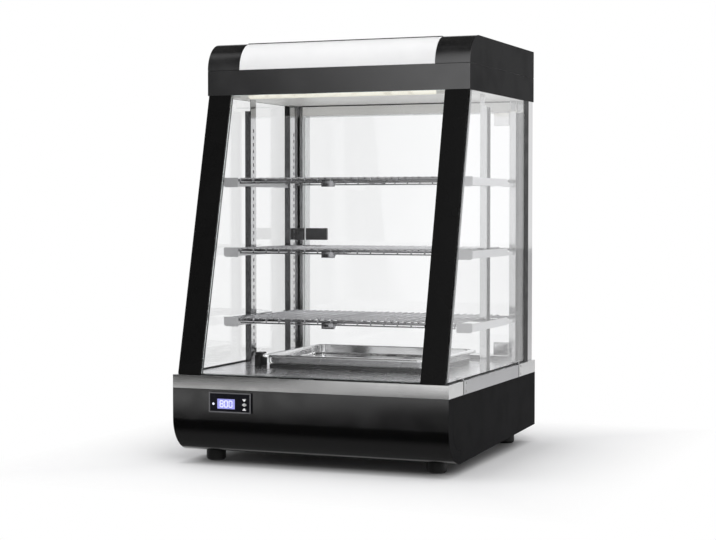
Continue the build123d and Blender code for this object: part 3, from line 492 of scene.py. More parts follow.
@dataclass(frozen=True)
class PaintFinish:
    """Powder-coated or painted sheet metal."""

    name: str
    colour: Colour
    roughness: float
    shine: float
    peel: float = 0.25
    peel_depth: float = 0.0002
    index: float = 1.5
    fleck: float = 1.35
    fleck_scale: float = 1400.0
    fleck_share: float = 0.5
    smudge: float = 0.07
    smudge_scale: float = 16.0
    dust: float = 0.05
    dust_colour: Colour = (0.32, 0.31, 0.29, 1.0)

    def build(self) -> Material:
        """Builds the material.

        Returns:
            The material.
        """
        material, tree, shader, vector = start_material(self.name)
        coat = tree.effect(Effect.SPECKLE, Vector=vector, Scale=self.fleck_scale)
        wiped = tree.smudged(vector, self.smudge_scale, self.smudge, self.roughness)
        flecks = tree.times(coat.outputs["Tone"], self.fleck_share)
        dusted = tree.effect(
            Effect.DUST,
            Colour=tree.blend(flecks, self.colour, scaled(self.colour, self.fleck)),
            Dust_Colour=self.dust_colour,
            Vector=vector,
            Upward=tree.upward(),
            Amount=self.dust,
        )
        tree.fill(
            shader,
            Base_Color=dusted.outputs["Colour"],
            Roughness=wiped.outputs["Roughness"],
            Specular_IOR_Level=self.shine,
            IOR=self.index,
        )
        tree.bump(shader, coat.outputs["Height"], self.peel_depth, self.peel)
        return material


@dataclass(frozen=True)
class BrushedFinish:
    """Stainless steel brushed along one axis."""

    name: str
    colour: Colour
    roughness: float
    grain: Grain
    relief: float = 0.05
    relief_depth: float = 0.0001
    dark_lines: float = 0.92
    line_span: Span = (0.3, 0.7)
    smudge: float = 0.03
    smudge_scale: float = 22.0
    scratches: float = 0.25
    scratch_scale: float = 24.0
    scratch_colour: Colour = grey(0.9)
    anisotropy: float = 0.4

    def build(self) -> Material:
        """Builds the material.

        Returns:
            The material.
        """
        material, tree, shader, vector = start_material(self.name)
        lines = tree.effect(Effect.GRAIN, Vector=vector, Stretch=self.grain.value, Roughness=self.roughness)
        wiped = tree.smudged(vector, self.smudge_scale, self.smudge, lines.outputs["Roughness"])
        scored = tree.effect(Effect.SCRATCH, Vector=vector, Scale=self.scratch_scale, Amount=self.scratches)
        darker = scaled(self.colour, self.dark_lines)
        toned = tree.ramp(lines.outputs["Tone"], self.line_span, darker, self.colour)
        tree.fill(
            shader,
            Base_Color=tree.blend(scored.outputs["Mask"], toned, self.scratch_colour),
            Roughness=wiped.outputs["Roughness"],
            Metallic=1.0,
            Anisotropic=self.anisotropy,
        )
        tree.bump(shader, lines.outputs["Height"], self.relief_depth, self.relief)
        return material


@dataclass(frozen=True)
class PolishedFinish:
    """Polished or plated metal with light scratches and dulled patches."""

    name: str
    colour: Colour
    roughness: float
    scratches: float = 0.5
    scratch_scale: float = 18.0
    scratch_dulls: float = 0.15
    scratch_colour: Colour = grey(0.95)
    dulled: float = 0.08
    dulled_scale: float = 14.0
    dulled_tone: float = 0.94
    ripple: float = 0.06
    ripple_scale: float = 9.0
    ripple_depth: float = 0.0004

    def build(self) -> Material:
        """Builds the material.

        Returns:
            The material.
        """
        material, tree, shader, vector = start_material(self.name)
        wiped = tree.smudged(vector, self.dulled_scale, self.dulled, self.roughness)
        scored = tree.effect(Effect.SCRATCH, Vector=vector, Scale=self.scratch_scale, Amount=self.scratches)
        scores = scored.outputs["Mask"]
        toned = tree.blend(wiped.outputs["Mask"], self.colour, scaled(self.colour, self.dulled_tone))
        tree.fill(
            shader,
            Base_Color=tree.blend(scores, toned, self.scratch_colour),
            Roughness=tree.math("MULTIPLY_ADD", scores, self.scratch_dulls, wiped.outputs["Roughness"]),
            Metallic=1.0,
        )
        ripples = tree.noise(vector, self.ripple_scale, detail=2.0)
        tree.bump(shader, ripples, self.ripple_depth, self.ripple)
        return material


@dataclass(frozen=True)
class GlassFinish:
    """Clear float glass, with a faint film of dust."""

    name: str
    tint: Colour
    film: Colour
    roughness: float = 0.0
    film_share: float = 0.6
    film_scale: float = 7.0
    index: float = 1.5
    shine: float = 0.3

    def build(self) -> Material:
        """Builds the material. Lamps shine through it.

        Returns:
            The material.
        """
        material, tree, shader, vector = start_material(self.name)
        haze = tree.smudged(vector, self.film_scale, 0.0, self.roughness)
        tree.fill(
            shader,
            Base_Color=tree.blend(tree.times(haze.outputs["Mask"], self.film_share), self.tint, self.film),
            Roughness=self.roughness,
            IOR=self.index,
            Specular_IOR_Level=self.shine,
            Transmission_Weight=1.0,
        )
        clear = tree.node("ShaderNodeBsdfTransparent")
        tree.fill(clear, Color=self.tint)
        tree.surface(tree.node("ShaderNodeLightPath").outputs["Is Shadow Ray"], shader, clear)
        return material


@dataclass(frozen=True)
class MouldedFinish:
    """Moulded plastic or rubber with a fine grain."""

    name: str
    colour: Colour
    roughness: float
    grain_scale: float = 2200.0
    grain: float = 0.3
    shine: float = 0.5
    worn: float = 1.5
    grain_share: float = 0.25
    grain_depth: float = 0.0002
    rubbed: float = -0.12
    rubbed_scale: float = 45.0
    rubbed_share: float = 0.5

    def build(self) -> Material:
        """Builds the material.

        Returns:
            The material.
        """
        material, tree, shader, vector = start_material(self.name)
        grain = tree.effect(Effect.SPECKLE, Vector=vector, Scale=self.grain_scale)
        rubbed = tree.smudged(vector, self.rubbed_scale, self.rubbed, self.roughness)
        lighter = scaled(self.colour, self.worn)
        toned = tree.blend(tree.times(rubbed.outputs["Mask"], self.rubbed_share), self.colour, lighter)
        tree.fill(
            shader,
            Base_Color=tree.blend(tree.times(grain.outputs["Tone"], self.grain_share), toned, lighter),
            Roughness=rubbed.outputs["Roughness"],
            Specular_IOR_Level=self.shine,
        )
        tree.bump(shader, grain.outputs["Height"], self.grain_depth, self.grain)
        return material


@dataclass(frozen=True)
class LitFinish:
    """Something that glows, as a lamp, opal plastic before one or a back-lit display, or as painted light."""

    name: str
    colour: Colour
    glow: Colour
    dim_glow: Colour
    strength: float
    roughness: float = 0.3
    mottle: float = 0.08
    mottle_scale: float = 12.0
    mottle_tone: float = 0.96
    falloff: float = 0.0

    def build(self) -> Material:
        """Builds the material.

        Returns:
            The material.
        """
        material, tree, shader, vector = start_material(self.name)
        patches = tree.smudged(vector, self.mottle_scale, self.mottle, self.roughness)
        mask = patches.outputs["Mask"]
        aside = tree.times(tree.node("ShaderNodeLayerWeight").outputs["Facing"], self.falloff)
        tree.fill(
            shader,
            Base_Color=tree.blend(mask, self.colour, scaled(self.colour, self.mottle_tone)),
            Roughness=patches.outputs["Roughness"],
            Emission_Color=tree.blend(tree.math("MAXIMUM", mask, aside), self.glow, self.dim_glow),
            Emission_Strength=self.strength,
        )
        return material


class Finishes:
    """Every finish of the case, built once."""

    def __init__(self) -> None:
        """Builds the materials."""
        self.painted()
        self.steels()
        self.glazed_and_lit()
        self.moulded()

    def painted(self) -> None:
        """Black paint of the hood, the base and the posts."""
        self.hood_black = PaintFinish(
            "satin_black_hood", (0.005, 0.005, 0.0053, 1), 0.14, shine=1.0, peel=0.12, index=1.68
        ).build()
        self.hood_side = PaintFinish(
            "matt_black_hood_side", (0.012, 0.012, 0.0125, 1), 0.5, shine=0.03, peel=0.12
        ).build()
        self.base_black = PaintFinish(
            "satin_black_base", (0.0015, 0.0015, 0.0016, 1), 0.13, shine=1.0, peel=0.05, index=1.68
        ).build()
        self.base_side = PaintFinish(
            "matt_black_base_side", (0.008, 0.008, 0.0085, 1), 0.5, shine=0.01, peel=0.1
        ).build()
        self.post_black = PaintFinish("gloss_black_post", grey(0.003), 0.25, shine=0.12, peel=0.08).build()

    def steels(self) -> None:
        """Brushed, satin and polished metal."""
        self.steel_x = BrushedFinish(
            "brushed_steel_across", (0.68, 0.68, 0.675, 1), 0.14, Grain.ALONG_X
        ).build()
        # Steel brushed front to back for the side bands, darker than the front band: painted shade on the
        # sides.
        self.steel_y_painted_shade = BrushedFinish(
            "brushed_steel_front_to_back_painted_shade", (0.46, 0.46, 0.47, 1), 0.2, Grain.ALONG_Y
        ).build()
        self.steel_z = BrushedFinish(
            "brushed_steel_upright", grey(0.66), 0.07, Grain.ALONG_Z, relief=0.02
        ).build()
        # A darker copy of the upright steel: painted shade on faces that look ahead on the left; the band's
        # clips are made in it too.
        self.shaded = BrushedFinish(
            "brushed_steel_shaded", (0.26, 0.26, 0.265, 1), 0.12, Grain.ALONG_Z, relief=0.02
        ).build()
        self.arm = BrushedFinish("satin_steel_arm", (0.92, 0.92, 0.93, 1), 0.55, Grain.ALONG_Y).build()
        # A near-white copy of the steel for the left rear post's flank beside the door: painted highlight.
        self.pale = BrushedFinish("satin_steel_painted_highlight", grey(0.95), 0.5, Grain.ALONG_Z, relief=0.02).build()
        self.deck = PolishedFinish("polished_deck", (0.74, 0.74, 0.75, 1), 0.24).build()
        self.tray = PolishedFinish(
            "polished_tray", grey(0.8), 0.1, scratches=0.12, dulled=0.03, ripple=0.02
        ).build()
        # A darker copy of the tray's polished steel for its front wall: painted shade under the lip.
        self.tray_wall_painted_shade = PolishedFinish(
            "polished_tray_wall_painted_shade", grey(0.5), 0.14, scratches=0.12, dulled=0.03, ripple=0.02
        ).build()
        self.wire = PolishedFinish("plated_wire", (0.42, 0.42, 0.43, 1), 0.06, scratches=0.1).build()
        self.screw = PolishedFinish("zinc_screw", (0.5, 0.5, 0.49, 1), 0.3, scratches=0.2).build()

    def glazed_and_lit(self) -> None:
        """Glass, and whatever glows."""
        self.clear = GlassFinish("clear_glass", (0.995, 0.998, 1, 1), (0.985, 0.988, 0.99, 1)).build()
        self.edge = GlassFinish("ground_glass_edge", (0.58, 0.68, 0.66, 1), (0.62, 0.72, 0.7, 1), 0.2).build()
        # The lining glows faintly though it is no lamp: painted light from the lamp inside the hood.
        self.glowing_lining = LitFinish(
            "white_lining_painted_glow",
            (0.88, 0.88, 0.86, 1),
            glow=(1, 0.99, 0.95, 1),
            dim_glow=(0.75, 0.74, 0.7, 1),
            strength=0.16,
            roughness=0.35,
            mottle_scale=5.0,
        ).build()
        self.opal = LitFinish(
            "opal_sign", grey(0.72), glow=WHITE, dim_glow=(0.75, 0.76, 0.78, 1), strength=0.06
        ).build()
        self.lamp = LitFinish(
            "frosted_lamp",
            (0.2, 0.19, 0.17, 1),
            glow=(1, 0.98, 0.87, 1),
            dim_glow=(0.6, 0.57, 0.48, 1),
            strength=0.95,
            roughness=0.4,
            mottle_scale=30.0,
            falloff=0.9,
        ).build()
        self.backlight = LitFinish(
            "display_backlight",
            (0.1, 0.11, 0.3, 1),
            glow=(0.36, 0.36, 0.78, 1),
            dim_glow=(0.25, 0.25, 0.6, 1),
            strength=0.85,
            roughness=0.2,
            mottle_scale=90.0,
        ).build()
        self.digit = LitFinish(
            "lit_digit",
            (0.5, 0.5, 0.55, 1),
            glow=(0.78, 0.8, 1, 1),
            dim_glow=(0.66, 0.68, 0.9, 1),
            strength=0.75,
        ).build()
        # The marks on the keys and the rocker glow faintly though they are no lamps: painted light.
        self.glowing_symbol = LitFinish("key_symbol_painted_glow", grey(0.7), glow=WHITE, dim_glow=grey(0.8), strength=0.1).build()

    def moulded(self) -> None:
        """Plastic, rubber, castings and board."""
        self.rubber = MouldedFinish(
            "black_rubber", grey(0.007), 0.55, grain_scale=1500.0, grain=0.3, shine=0.3
        ).build()
        self.plastic = MouldedFinish("grained_black_plastic", (0.02, 0.02, 0.021, 1), 0.42).build()
        self.catch = MouldedFinish(
            "catch_plastic", (0.045, 0.045, 0.047, 1), 0.38, grain_scale=900.0, grain=0.6
        ).build()
        self.guard = MouldedFinish(
            "guard_plastic", grey(0.008), 0.35, grain_scale=900.0, grain=0.3, shine=0.3
        ).build()
        # Lighter grey plastic for the raised rim round the bezel: painted highlight along its edge.
        self.rim = MouldedFinish(
            "bezel_rim_painted_highlight", (0.1, 0.1, 0.105, 1), 0.3, grain_scale=2600.0, grain=0.12
        ).build()
        self.bezel = MouldedFinish(
            "bezel_plastic", (0.003, 0.003, 0.006, 1), 0.22, grain_scale=2600.0, grain=0.12, shine=0.25
        ).build()
        self.window = MouldedFinish(
            "display_window", (0.006, 0.006, 0.035, 1), 0.12, grain_scale=3000.0, grain=0.05
        ).build()
        self.key = MouldedFinish(
            "key_plastic", (0.012, 0.012, 0.013, 1), 0.35, grain_scale=2600.0, grain=0.2, shine=0.3
        ).build()
        self.cast = MouldedFinish(
            "cast_black_plate", grey(0.015), 0.6, grain_scale=500.0, grain=0.8, shine=0.4
        ).build()
        self.board = MouldedFinish(
            "fibre_board", (0.6, 0.55, 0.45, 1), 0.85, grain_scale=700.0, grain=0.9, shine=0.2, worn=1.2
        ).build()


def body_of(node: str) -> str:
    """The body that a CAD node rides on."""
    bodies = frame["record"]["behaviour"]["bodies"]
    return next(body for body, members in bodies.items() if node in members)


def dress(node: str, material: Material) -> None:
    """Gives a kept CAD node its finish.

    Args:
        node: The node's name.
        material: The material of every slot of its mesh.
    """
    piece = frame["nodes"][node]
    if not piece.material_slots:
        piece.data.materials.append(material)
    for place in piece.material_slots:
        place.material = material
    LOG.info("dressed %s", node)


def settle(name: str, bm: Mesh, material: Material, body: str = "case") -> bpy.types.Object:
    """Turns a bmesh into a piece that rides on a body.

    Args:
        name: The piece's name.
        bm: Its mesh, in metres in the frame that the bodies share. It is freed.
        material: Its finish.
        body: The body that it rides on.

    Returns:
        The piece.
    """
    for face in bm.faces:
        face.smooth = True
    mesh = bpy.data.meshes.new(name)
    bm.to_mesh(mesh)
    bm.free()
    mesh.materials.append(material)
    piece = bpy.data.objects.new(name, mesh)
    bpy.context.scene.collection.objects.link(piece)
    level = piece.modifiers.new("even_shading", "WEIGHTED_NORMAL")
    level.keep_sharp = True
    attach(piece, body)
    LOG.info("made %s", name)
    return piece


def verts_among(geometry: list) -> list[Vert]:
    """The vertices among what an operator has made."""
    return [part for part in geometry if isinstance(part, Vert)]


def faces_round(verts: list[Vert]) -> list[Face]:
    """The faces that meet at some vertices, each once."""
    return list({face for vert in verts for face in vert.link_faces})


def merged_copy(node: str) -> Mesh:
    """A closed copy of a CAD node's loose triangles, with its flat faces joined.

    Args:
        node: The node's name.

    Returns:
        The copy.
    """
    bm = bmesh.new()
    bm.from_mesh(frame["nodes"][node].data)
    bmesh.ops.remove_doubles(bm, verts=bm.verts, dist=MERGE)
    bmesh.ops.dissolve_limit(
        bm, angle_limit=FLAT, use_dissolve_boundaries=False, verts=bm.verts, edges=bm.edges, delimit=set()
    )
    return bm


def softened(bm: Mesh, edges: list[bmesh.types.BMEdge], width: float, steps: int) -> None:
    """Bevels edges.

    Args:
        bm: The mesh.
        edges: The edges.
        width: The width of the bevel, in millimetres.
        steps: The number of faces across it.
    """
    bmesh.ops.bevel(
        bm,
        geom=edges,
        offset=width * MM,
        offset_type="OFFSET",
        segments=steps,
        profile=0.5,
        affect="EDGES",
        clamp_overlap=True,
        material=-1,
    )


def looks_sideways(normal: Vector) -> bool:
    """Whether a face looks to the left or right."""
    return abs(normal.x) > SQUARE_ON


def looks_ahead(normal: Vector) -> bool:
    """Whether a face looks towards the customer."""
    return normal.y < -SQUARE_ON


def eased(
    node: str,
    material: Material,
    edge: float = 0.4,
    steps: int = 2,
    flank: Material | None = None,
    chosen: Callable[[Vector], bool] = looks_sideways,
) -> bpy.types.Object:
    """A copy of a CAD node with its edges eased, which stands for the node.

    Args:
        node: The node's name.
        material: Its finish.
        edge: The width of an eased edge, in millimetres.
        steps: The number of faces across an eased edge.
        flank: A second finish, for some of the faces.
        chosen: Picks those faces by their normals.

    Returns:
        The piece.
    """
    bm = merged_copy(node)
    hard = [e for e in bm.edges if len(e.link_faces) == 2 and e.calc_face_angle() > HARD_EDGE]
    softened(bm, hard, edge, steps)
    for face in bm.faces:
        face.material_index = int(flank is not None and chosen(face.normal))
    piece = settle(f"{node}_eased", bm, material, body_of(node))
    if flank is not None:
        piece.data.materials.append(flank)
    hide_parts(node)
    return piece


def turned(bm: Mesh, profile: list[Pair], centre: Vector, axis: Vector, steps: int = 16) -> None:
    """Turns a profile about an axis, as on a lathe.

    Args:
        bm: The mesh that it is added to.
        profile: Pairs of radius and height along the axis, in metres.
        centre: Where the axis starts.
        axis: The axis, of length 1.
        steps: The number of sides.
    """
    side = axis.orthogonal().normalized()
    points = [bm.verts.new(centre + side * radius + axis * height) for radius, height in profile]
    edges = [bm.edges.new(pair) for pair in zip(points, points[1:])]
    bmesh.ops.spin(
        bm,
        geom=points + edges,
        cent=centre,
        axis=axis,
        dvec=(0, 0, 0),
        angle=FULL_TURN,
        steps=steps,
        use_merge=True,
    )
    bmesh.ops.remove_doubles(bm, verts=bm.verts, dist=MERGE)
    bmesh.ops.recalc_face_normals(bm, faces=bm.faces)


def ring_profile(size: Pair, rise: float) -> list[Pair]:
    """The profile of a flat ring.

    Args:
        size: Its inner and outer radius, in millimetres.
        rise: Its height, in millimetres.

    Returns:
        Pairs of radius and height, in metres.
    """
    inner, outer = size
    around = ((inner, 0.0), (inner, rise), (outer, rise), (outer, 0.0), (inner, 0.0))
    return [(radius * MM, height * MM) for radius, height in around]


def back_screws(name: str, material: Material, places: list[Vector], head: Pair = (3.4, 1.8)) -> None:
    """Button-head screws that look to the back, as one piece.

    Args:
        name: The piece's name.
        material: Their finish.
        places: Where their heads sit.
        head: The radius and height of a head, in millimetres.
    """
    bm = bmesh.new()
    for place in places:
        turned(bm, Head.SOCKET.profile(*head), place, BACK)
    settle(name, bm, material)


def swept(bm: Mesh, path: list[Vector], radius: float, sides: int) -> list[Vert]:
    """Sweeps a round bar along a path.

    Args:
        bm: The mesh that it is added to.
        path: The points of its middle line.
        radius: The bar's radius.
        sides: The number of sides.

    Returns:
        The bar's vertices.
    """
    heading = (path[1] - path[0]).normalized()
    turn = Vector((0, 0, 1)).rotation_difference(heading)
    place = Matrix.Translation(path[0]) @ turn.to_matrix().to_4x4()
    made = bmesh.ops.create_circle(bm, cap_ends=True, radius=radius, segments=sides, matrix=place)
    bar = list(made["verts"])
    end = bar[0].link_faces[0]
    for index in range(1, len(path)):
        before = (path[index] - path[index - 1]).normalized()
        last = index == len(path) - 1
        after = before if last else (path[index + 1] - path[index]).normalized()
        middle = (before + after).normalized()
        turn = heading.rotation_difference(middle) @ turn
        heading = middle
        grown = bmesh.ops.extrude_face_region(bm, geom=[end])["geom"]
        ring = verts_among(grown)
        end = next(part for part in grown if isinstance(part, Face))
        target = Matrix.Translation(path[index]) @ turn.to_matrix().to_4x4()
        bmesh.ops.transform(bm, matrix=target @ place.inverted(), verts=ring)
        place = target
        bar += ring
    bmesh.ops.recalc_face_normals(bm, faces=faces_round(bar))
    return bar


def block(bm: Mesh, middle: Vector, size: Vector) -> None:
    """Adds a square block.

    Args:
        bm: The mesh that it is added to.
        middle: Its middle.
        size: Its size along each axis.
    """
    bmesh.ops.create_cube(bm, size=1, matrix=Matrix.Translation(middle) @ Matrix.Diagonal((*size, 1)))


def rounded_face(bm: Mesh, place: Matrix, length: float, width: float, corner: float, steps: int) -> Face:
    """A flat rectangle with round corners.

    Args:
        bm: The mesh that it is added to.
        place: Where its middle and its plane are.
        length: Its size along the plane's X, in metres.
        width: Its size along the plane's Y, in metres.
        corner: The radius of its corners, in millimetres.
        steps: The number of edges round a corner.

    Returns:
        The face.
    """
    size = Matrix.Diagonal((length, width, 1, 1))
    made = bmesh.ops.create_grid(bm, x_segments=1, y_segments=1, size=0.5, matrix=place @ size)
    rounded = bmesh.ops.bevel(
        bm,
        geom=made["verts"],
        offset=corner * MM,
        offset_type="OFFSET",
        segments=steps,
        profile=0.5,
        affect="VERTICES",
        clamp_overlap=False,
        material=-1,
    )
    return rounded["verts"][0].link_faces[0]


def raised(bm: Mesh, faces: list[Face], rise: Vector) -> list[Vert]:
    """Extrudes faces into a closed plate.

    Args:
        bm: The mesh.
        faces: The faces.
        rise: How far and which way they are extruded.

    Returns:
        The vertices of the far side.
    """
    top = verts_among(bmesh.ops.extrude_face_region(bm, geom=faces)["geom"])
    bmesh.ops.translate(bm, vec=rise, verts=top)
    bmesh.ops.recalc_face_normals(bm, faces=bm.faces)
    return top


def plate(bm: Mesh, place: Matrix, size: Triple, corner: float, steps: int) -> list[Vert]:
    """A closed plate with round corners.

    Args:
        bm: The mesh that it is added to.
        place: Where the middle and the plane of its near side are.
        size: Its size along the plane's X and Y and its thickness, in millimetres.
        corner: The radius of its corners, in millimetres.
        steps: The number of edges round a corner.

    Returns:
        The vertices of its far side.
    """
    length, width, rise = (side * MM for side in size)
    face = rounded_face(bm, place, length, width, corner, steps)
    return raised(bm, [face], place.to_3x3() @ Vector((0, 0, rise)))


@dataclass
class Base:
    """Feet, sheets and band of the base, with its rivets, clips and screws. Sizes are in millimetres."""

    finishes: Finishes
    rivet: Pair = (2.3, 0.9)  # radius, height
    rivet_rows: Pair = (150.0, 135.5)
    rivet_columns: Pair = (-161.0, 157.0)
    seam_places: Pair = (-175.6, 145.6)
    seam_width: float = 2.6
    seam_proud: float = 0.2
    clip: Triple = (3.6, 7.0, 4.6)  # width, length, rise
    clip_inset: float = 0.4
    clip_corner: float = 1.2
    clip_fold: float = 1.1
    screw_inset: Pair = (12.0, 10.0)  # from the sides, from top and bottom

    def build(self) -> None:
        """Builds and dresses every piece."""
        look = self.finishes
        eased("base_front_panel", look.base_black, edge=0.35, flank=look.base_side)
        for side in ("left", "right"):
            eased(f"base_side_{side}", look.base_side, edge=0.35)
            # The side bands take the darker brushed steel: painted shade.
            eased(f"trim_side_{side}", look.steel_y_painted_shade, edge=0.35)
        eased("base_back_panel", look.base_black, edge=0.3)
        dress("base_floor", look.base_black)
        eased("feet", look.rubber, edge=0.8, steps=3)
        eased("trim_front", look.steel_x, edge=0.45)
        eased("trim_rear", look.steel_x, edge=0.45)
        dress("deck_plate", look.deck)
        dress("insulation_board", look.board)
        self.rivets()
        self.clips()
        self.seams()
        self.screws()

    def rivets(self) -> None:
        """Domed rivets that hold the side band."""
        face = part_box("trim_side_right")[1].x
        for side, sign in SIDES:
            bm = bmesh.new()
            for column in self.rivet_columns:
                for row in self.rivet_rows:
                    centre = Vector((sign * face, column * MM, row * MM))
                    turned(bm, Head.DOMED.profile(*self.rivet), centre, Vector((sign, 0, 0)))
            settle(f"band_rivets_{side}", bm, self.finishes.screw)

    def clips(self) -> None:
        """Small folded clips over the seams of the band."""
        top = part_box("trim_side_right")[1]
        reach = top.x - (self.clip[0] / 2 + self.clip_inset) * MM
        for side, sign in SIDES:
            bm = bmesh.new()
            for seam in self.seam_places:
                place = Matrix.Translation((sign * reach, seam * MM, top.z))
                far = plate(bm, place, self.clip, self.clip_corner, steps=4)
                rim = [e for e in bm.edges if all(v in far for v in e.verts)]
                softened(bm, rim, self.clip_fold, steps=3)
            settle(f"band_clips_{side}", bm, self.finishes.shaded)

    def seams(self) -> None:
        """Dark strips that fill the seams of the band."""
        low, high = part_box("trim_side_right")
        proud = self.seam_proud * MM
        size = Vector((proud, self.seam_width * MM, high.z - low.z))
        for side, sign in SIDES:
            bm = bmesh.new()
            for seam in self.seam_places:
                block(bm, Vector((sign * (high.x + proud / 2), seam * MM, (low.z + high.z) / 2)), size)
            settle(f"band_seams_{side}", bm, self.finishes.rubber)

    def screws(self) -> None:
        """Screws of the back sheet."""
        low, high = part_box("base_back_panel")
        across, up = (inset * MM for inset in self.screw_inset)
        columns = (low.x + across, (low.x + high.x) / 2, high.x - across)
        places = [Vector((x, high.y, z)) for x in columns for z in (low.z + up, high.z - up)]
        back_screws("back_sheet_screws", self.finishes.screw, places)


@dataclass
class GlassCase:
    """Posts, panes and seals. Sizes are in millimetres."""

    finishes: Finishes
    edge: float = 0.5

    def build(self) -> None:
        """Builds and dresses every piece."""
        look = self.finishes
        for side in ("left", "right"):
            eased(f"post_{side}", look.post_black, edge=0.8, steps=3)
            self.pane(f"side_glass_{side}", Vector((1, 0, 0)))
        low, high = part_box("front_glass")
        rise = Vector((0, high.y - low.y, high.z - low.z)).normalized()
        self.pane("front_glass", Vector((0, -rise.z, rise.y)))
        eased("glass_seals", look.rubber, edge=0.25)

    def pane(self, node: str, facing: Vector) -> None:
        """A pane with clear faces and ground edges, which stands for its node.

        Args:
            node: The pane's node.
            facing: The direction of its faces.
        """
        bm = merged_copy(node)
        hard = [e for e in bm.edges if e.calc_face_angle() > HARD_EDGE]
        softened(bm, hard, self.edge, steps=1)
        for face in bm.faces:
            face.material_index = int(abs(face.normal.dot(facing)) < SQUARE_ON)
        piece = settle(f"{node}_ground", bm, self.finishes.clear, body_of(node))
        piece.data.materials.append(self.finishes.edge)
        for face in piece.data.polygons:
            face.use_smooth = False
        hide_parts(node)


@dataclass
class RearDoor:
    """Rear frame, its glass door, hinges, handle and catch. Sizes are in millimetres."""

    finishes: Finishes
    panes: GlassCase
    seal_height: float = 2.2
    seal_proud: float = 0.4

    def build(self) -> None:
        """Builds and dresses every piece."""
        look = self.finishes
        self.left_post()
        eased("rear_post_right", look.steel_z, edge=0.5)
        # The header's face that looks ahead takes the glowing lining: painted light.
        eased("rear_header", look.steel_x, flank=look.glowing_lining, chosen=looks_ahead)
        eased("rear_sill", look.steel_x)
        self.panes.pane("door_glass", BACK)
        eased("door_hinges", look.tray)
        eased("door_handle", look.catch, edge=0.6, steps=3)
        eased("door_catch", look.catch, edge=0.6, steps=3)
        self.header_seal()

    def left_post(self) -> None:
        """The left post, with painted shade on the faces that look ahead and a painted highlight on the flank
        beside the door.
        """
        look = self.finishes
        post = eased(
            "rear_post_left", look.steel_z, edge=0.5, flank=look.shaded, chosen=looks_ahead
        )
        # The flank that looks into the case takes the near-white copy: painted highlight.
        post.data.materials.append(look.pale)
        for face in post.data.polygons:
            if face.normal.x > SQUARE_ON:
                face.material_index = 2

    def header_seal(self) -> None:
        """Dark seal where the header meets the ceiling."""
        low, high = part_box("rear_header")
        bm = bmesh.new()
        size = Vector((high.x - low.x, self.seal_proud * MM, self.seal_height * MM))
        block(bm, Vector((0, low.y - size.y / 2, high.z - size.z / 2)), size)
        settle("header_seal", bm, self.finishes.rubber)


@dataclass
class Hood:
    """Hood with its sign panel, lamps and lining, which glows as painted light. Sizes are in millimetres."""

    finishes: Finishes
    trim_height: float = 1.5
    trim_reach: float = 13.0
    trim_corner: float = 0.5
    screw_inset: Pair = (14.0, 12.0)  # from the sides, from top and bottom

    def build(self) -> None:
        """Builds and dresses every piece."""
        look = self.finishes
        eased("hood_valance", look.hood_black, edge=0.45, steps=3, flank=look.hood_side)
        for side in ("left", "right"):
            eased(f"hood_side_strip_{side}", look.hood_side)
            eased(
                f"hood_end_{side}", look.hood_black, edge=0.5, steps=3, flank=look.hood_side
            )
        eased("hood_top_panel", look.hood_black)
        eased("hood_back_panel", look.hood_black)
        eased("hood_diffuser", look.opal, edge=0.3)
        # The ceiling and the lamp trough take the glowing lining: painted light.
        dress("ceiling_panel", look.glowing_lining)
        dress("lamp_trough", look.glowing_lining)
        dress("lamp_tube", look.lamp)
        dress("sign_lamp", look.opal)
        self.sign_trim()
        self.screws()

    def sign_trim(self) -> None:
        """Narrow flat strip that holds the upper edge of the sign panel."""
        low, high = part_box("hood_diffuser")
        bm = bmesh.new()
        back = high.y - self.trim_reach * MM / 2
        place = Matrix.Translation(((low.x + high.x) / 2, back, high.z - self.trim_height * MM))
        size = ((high.x - low.x) / MM, self.trim_reach, self.trim_height)
        plate(bm, place, size, self.trim_corner, steps=2)
        settle("sign_trim", bm, self.finishes.hood_black)

    def screws(self) -> None:
        """Screws of the back of the hood."""
        low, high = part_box("hood_back_panel")
        across, up = (inset * MM for inset in self.screw_inset)
        columns = (low.x + across, low.x / 3, high.x / 3, high.x - across)
        places = [Vector((x, high.y, z)) for x in columns for z in (low.z + up, high.z - up)]
        back_screws("hood_back_screws", self.finishes.screw, places)


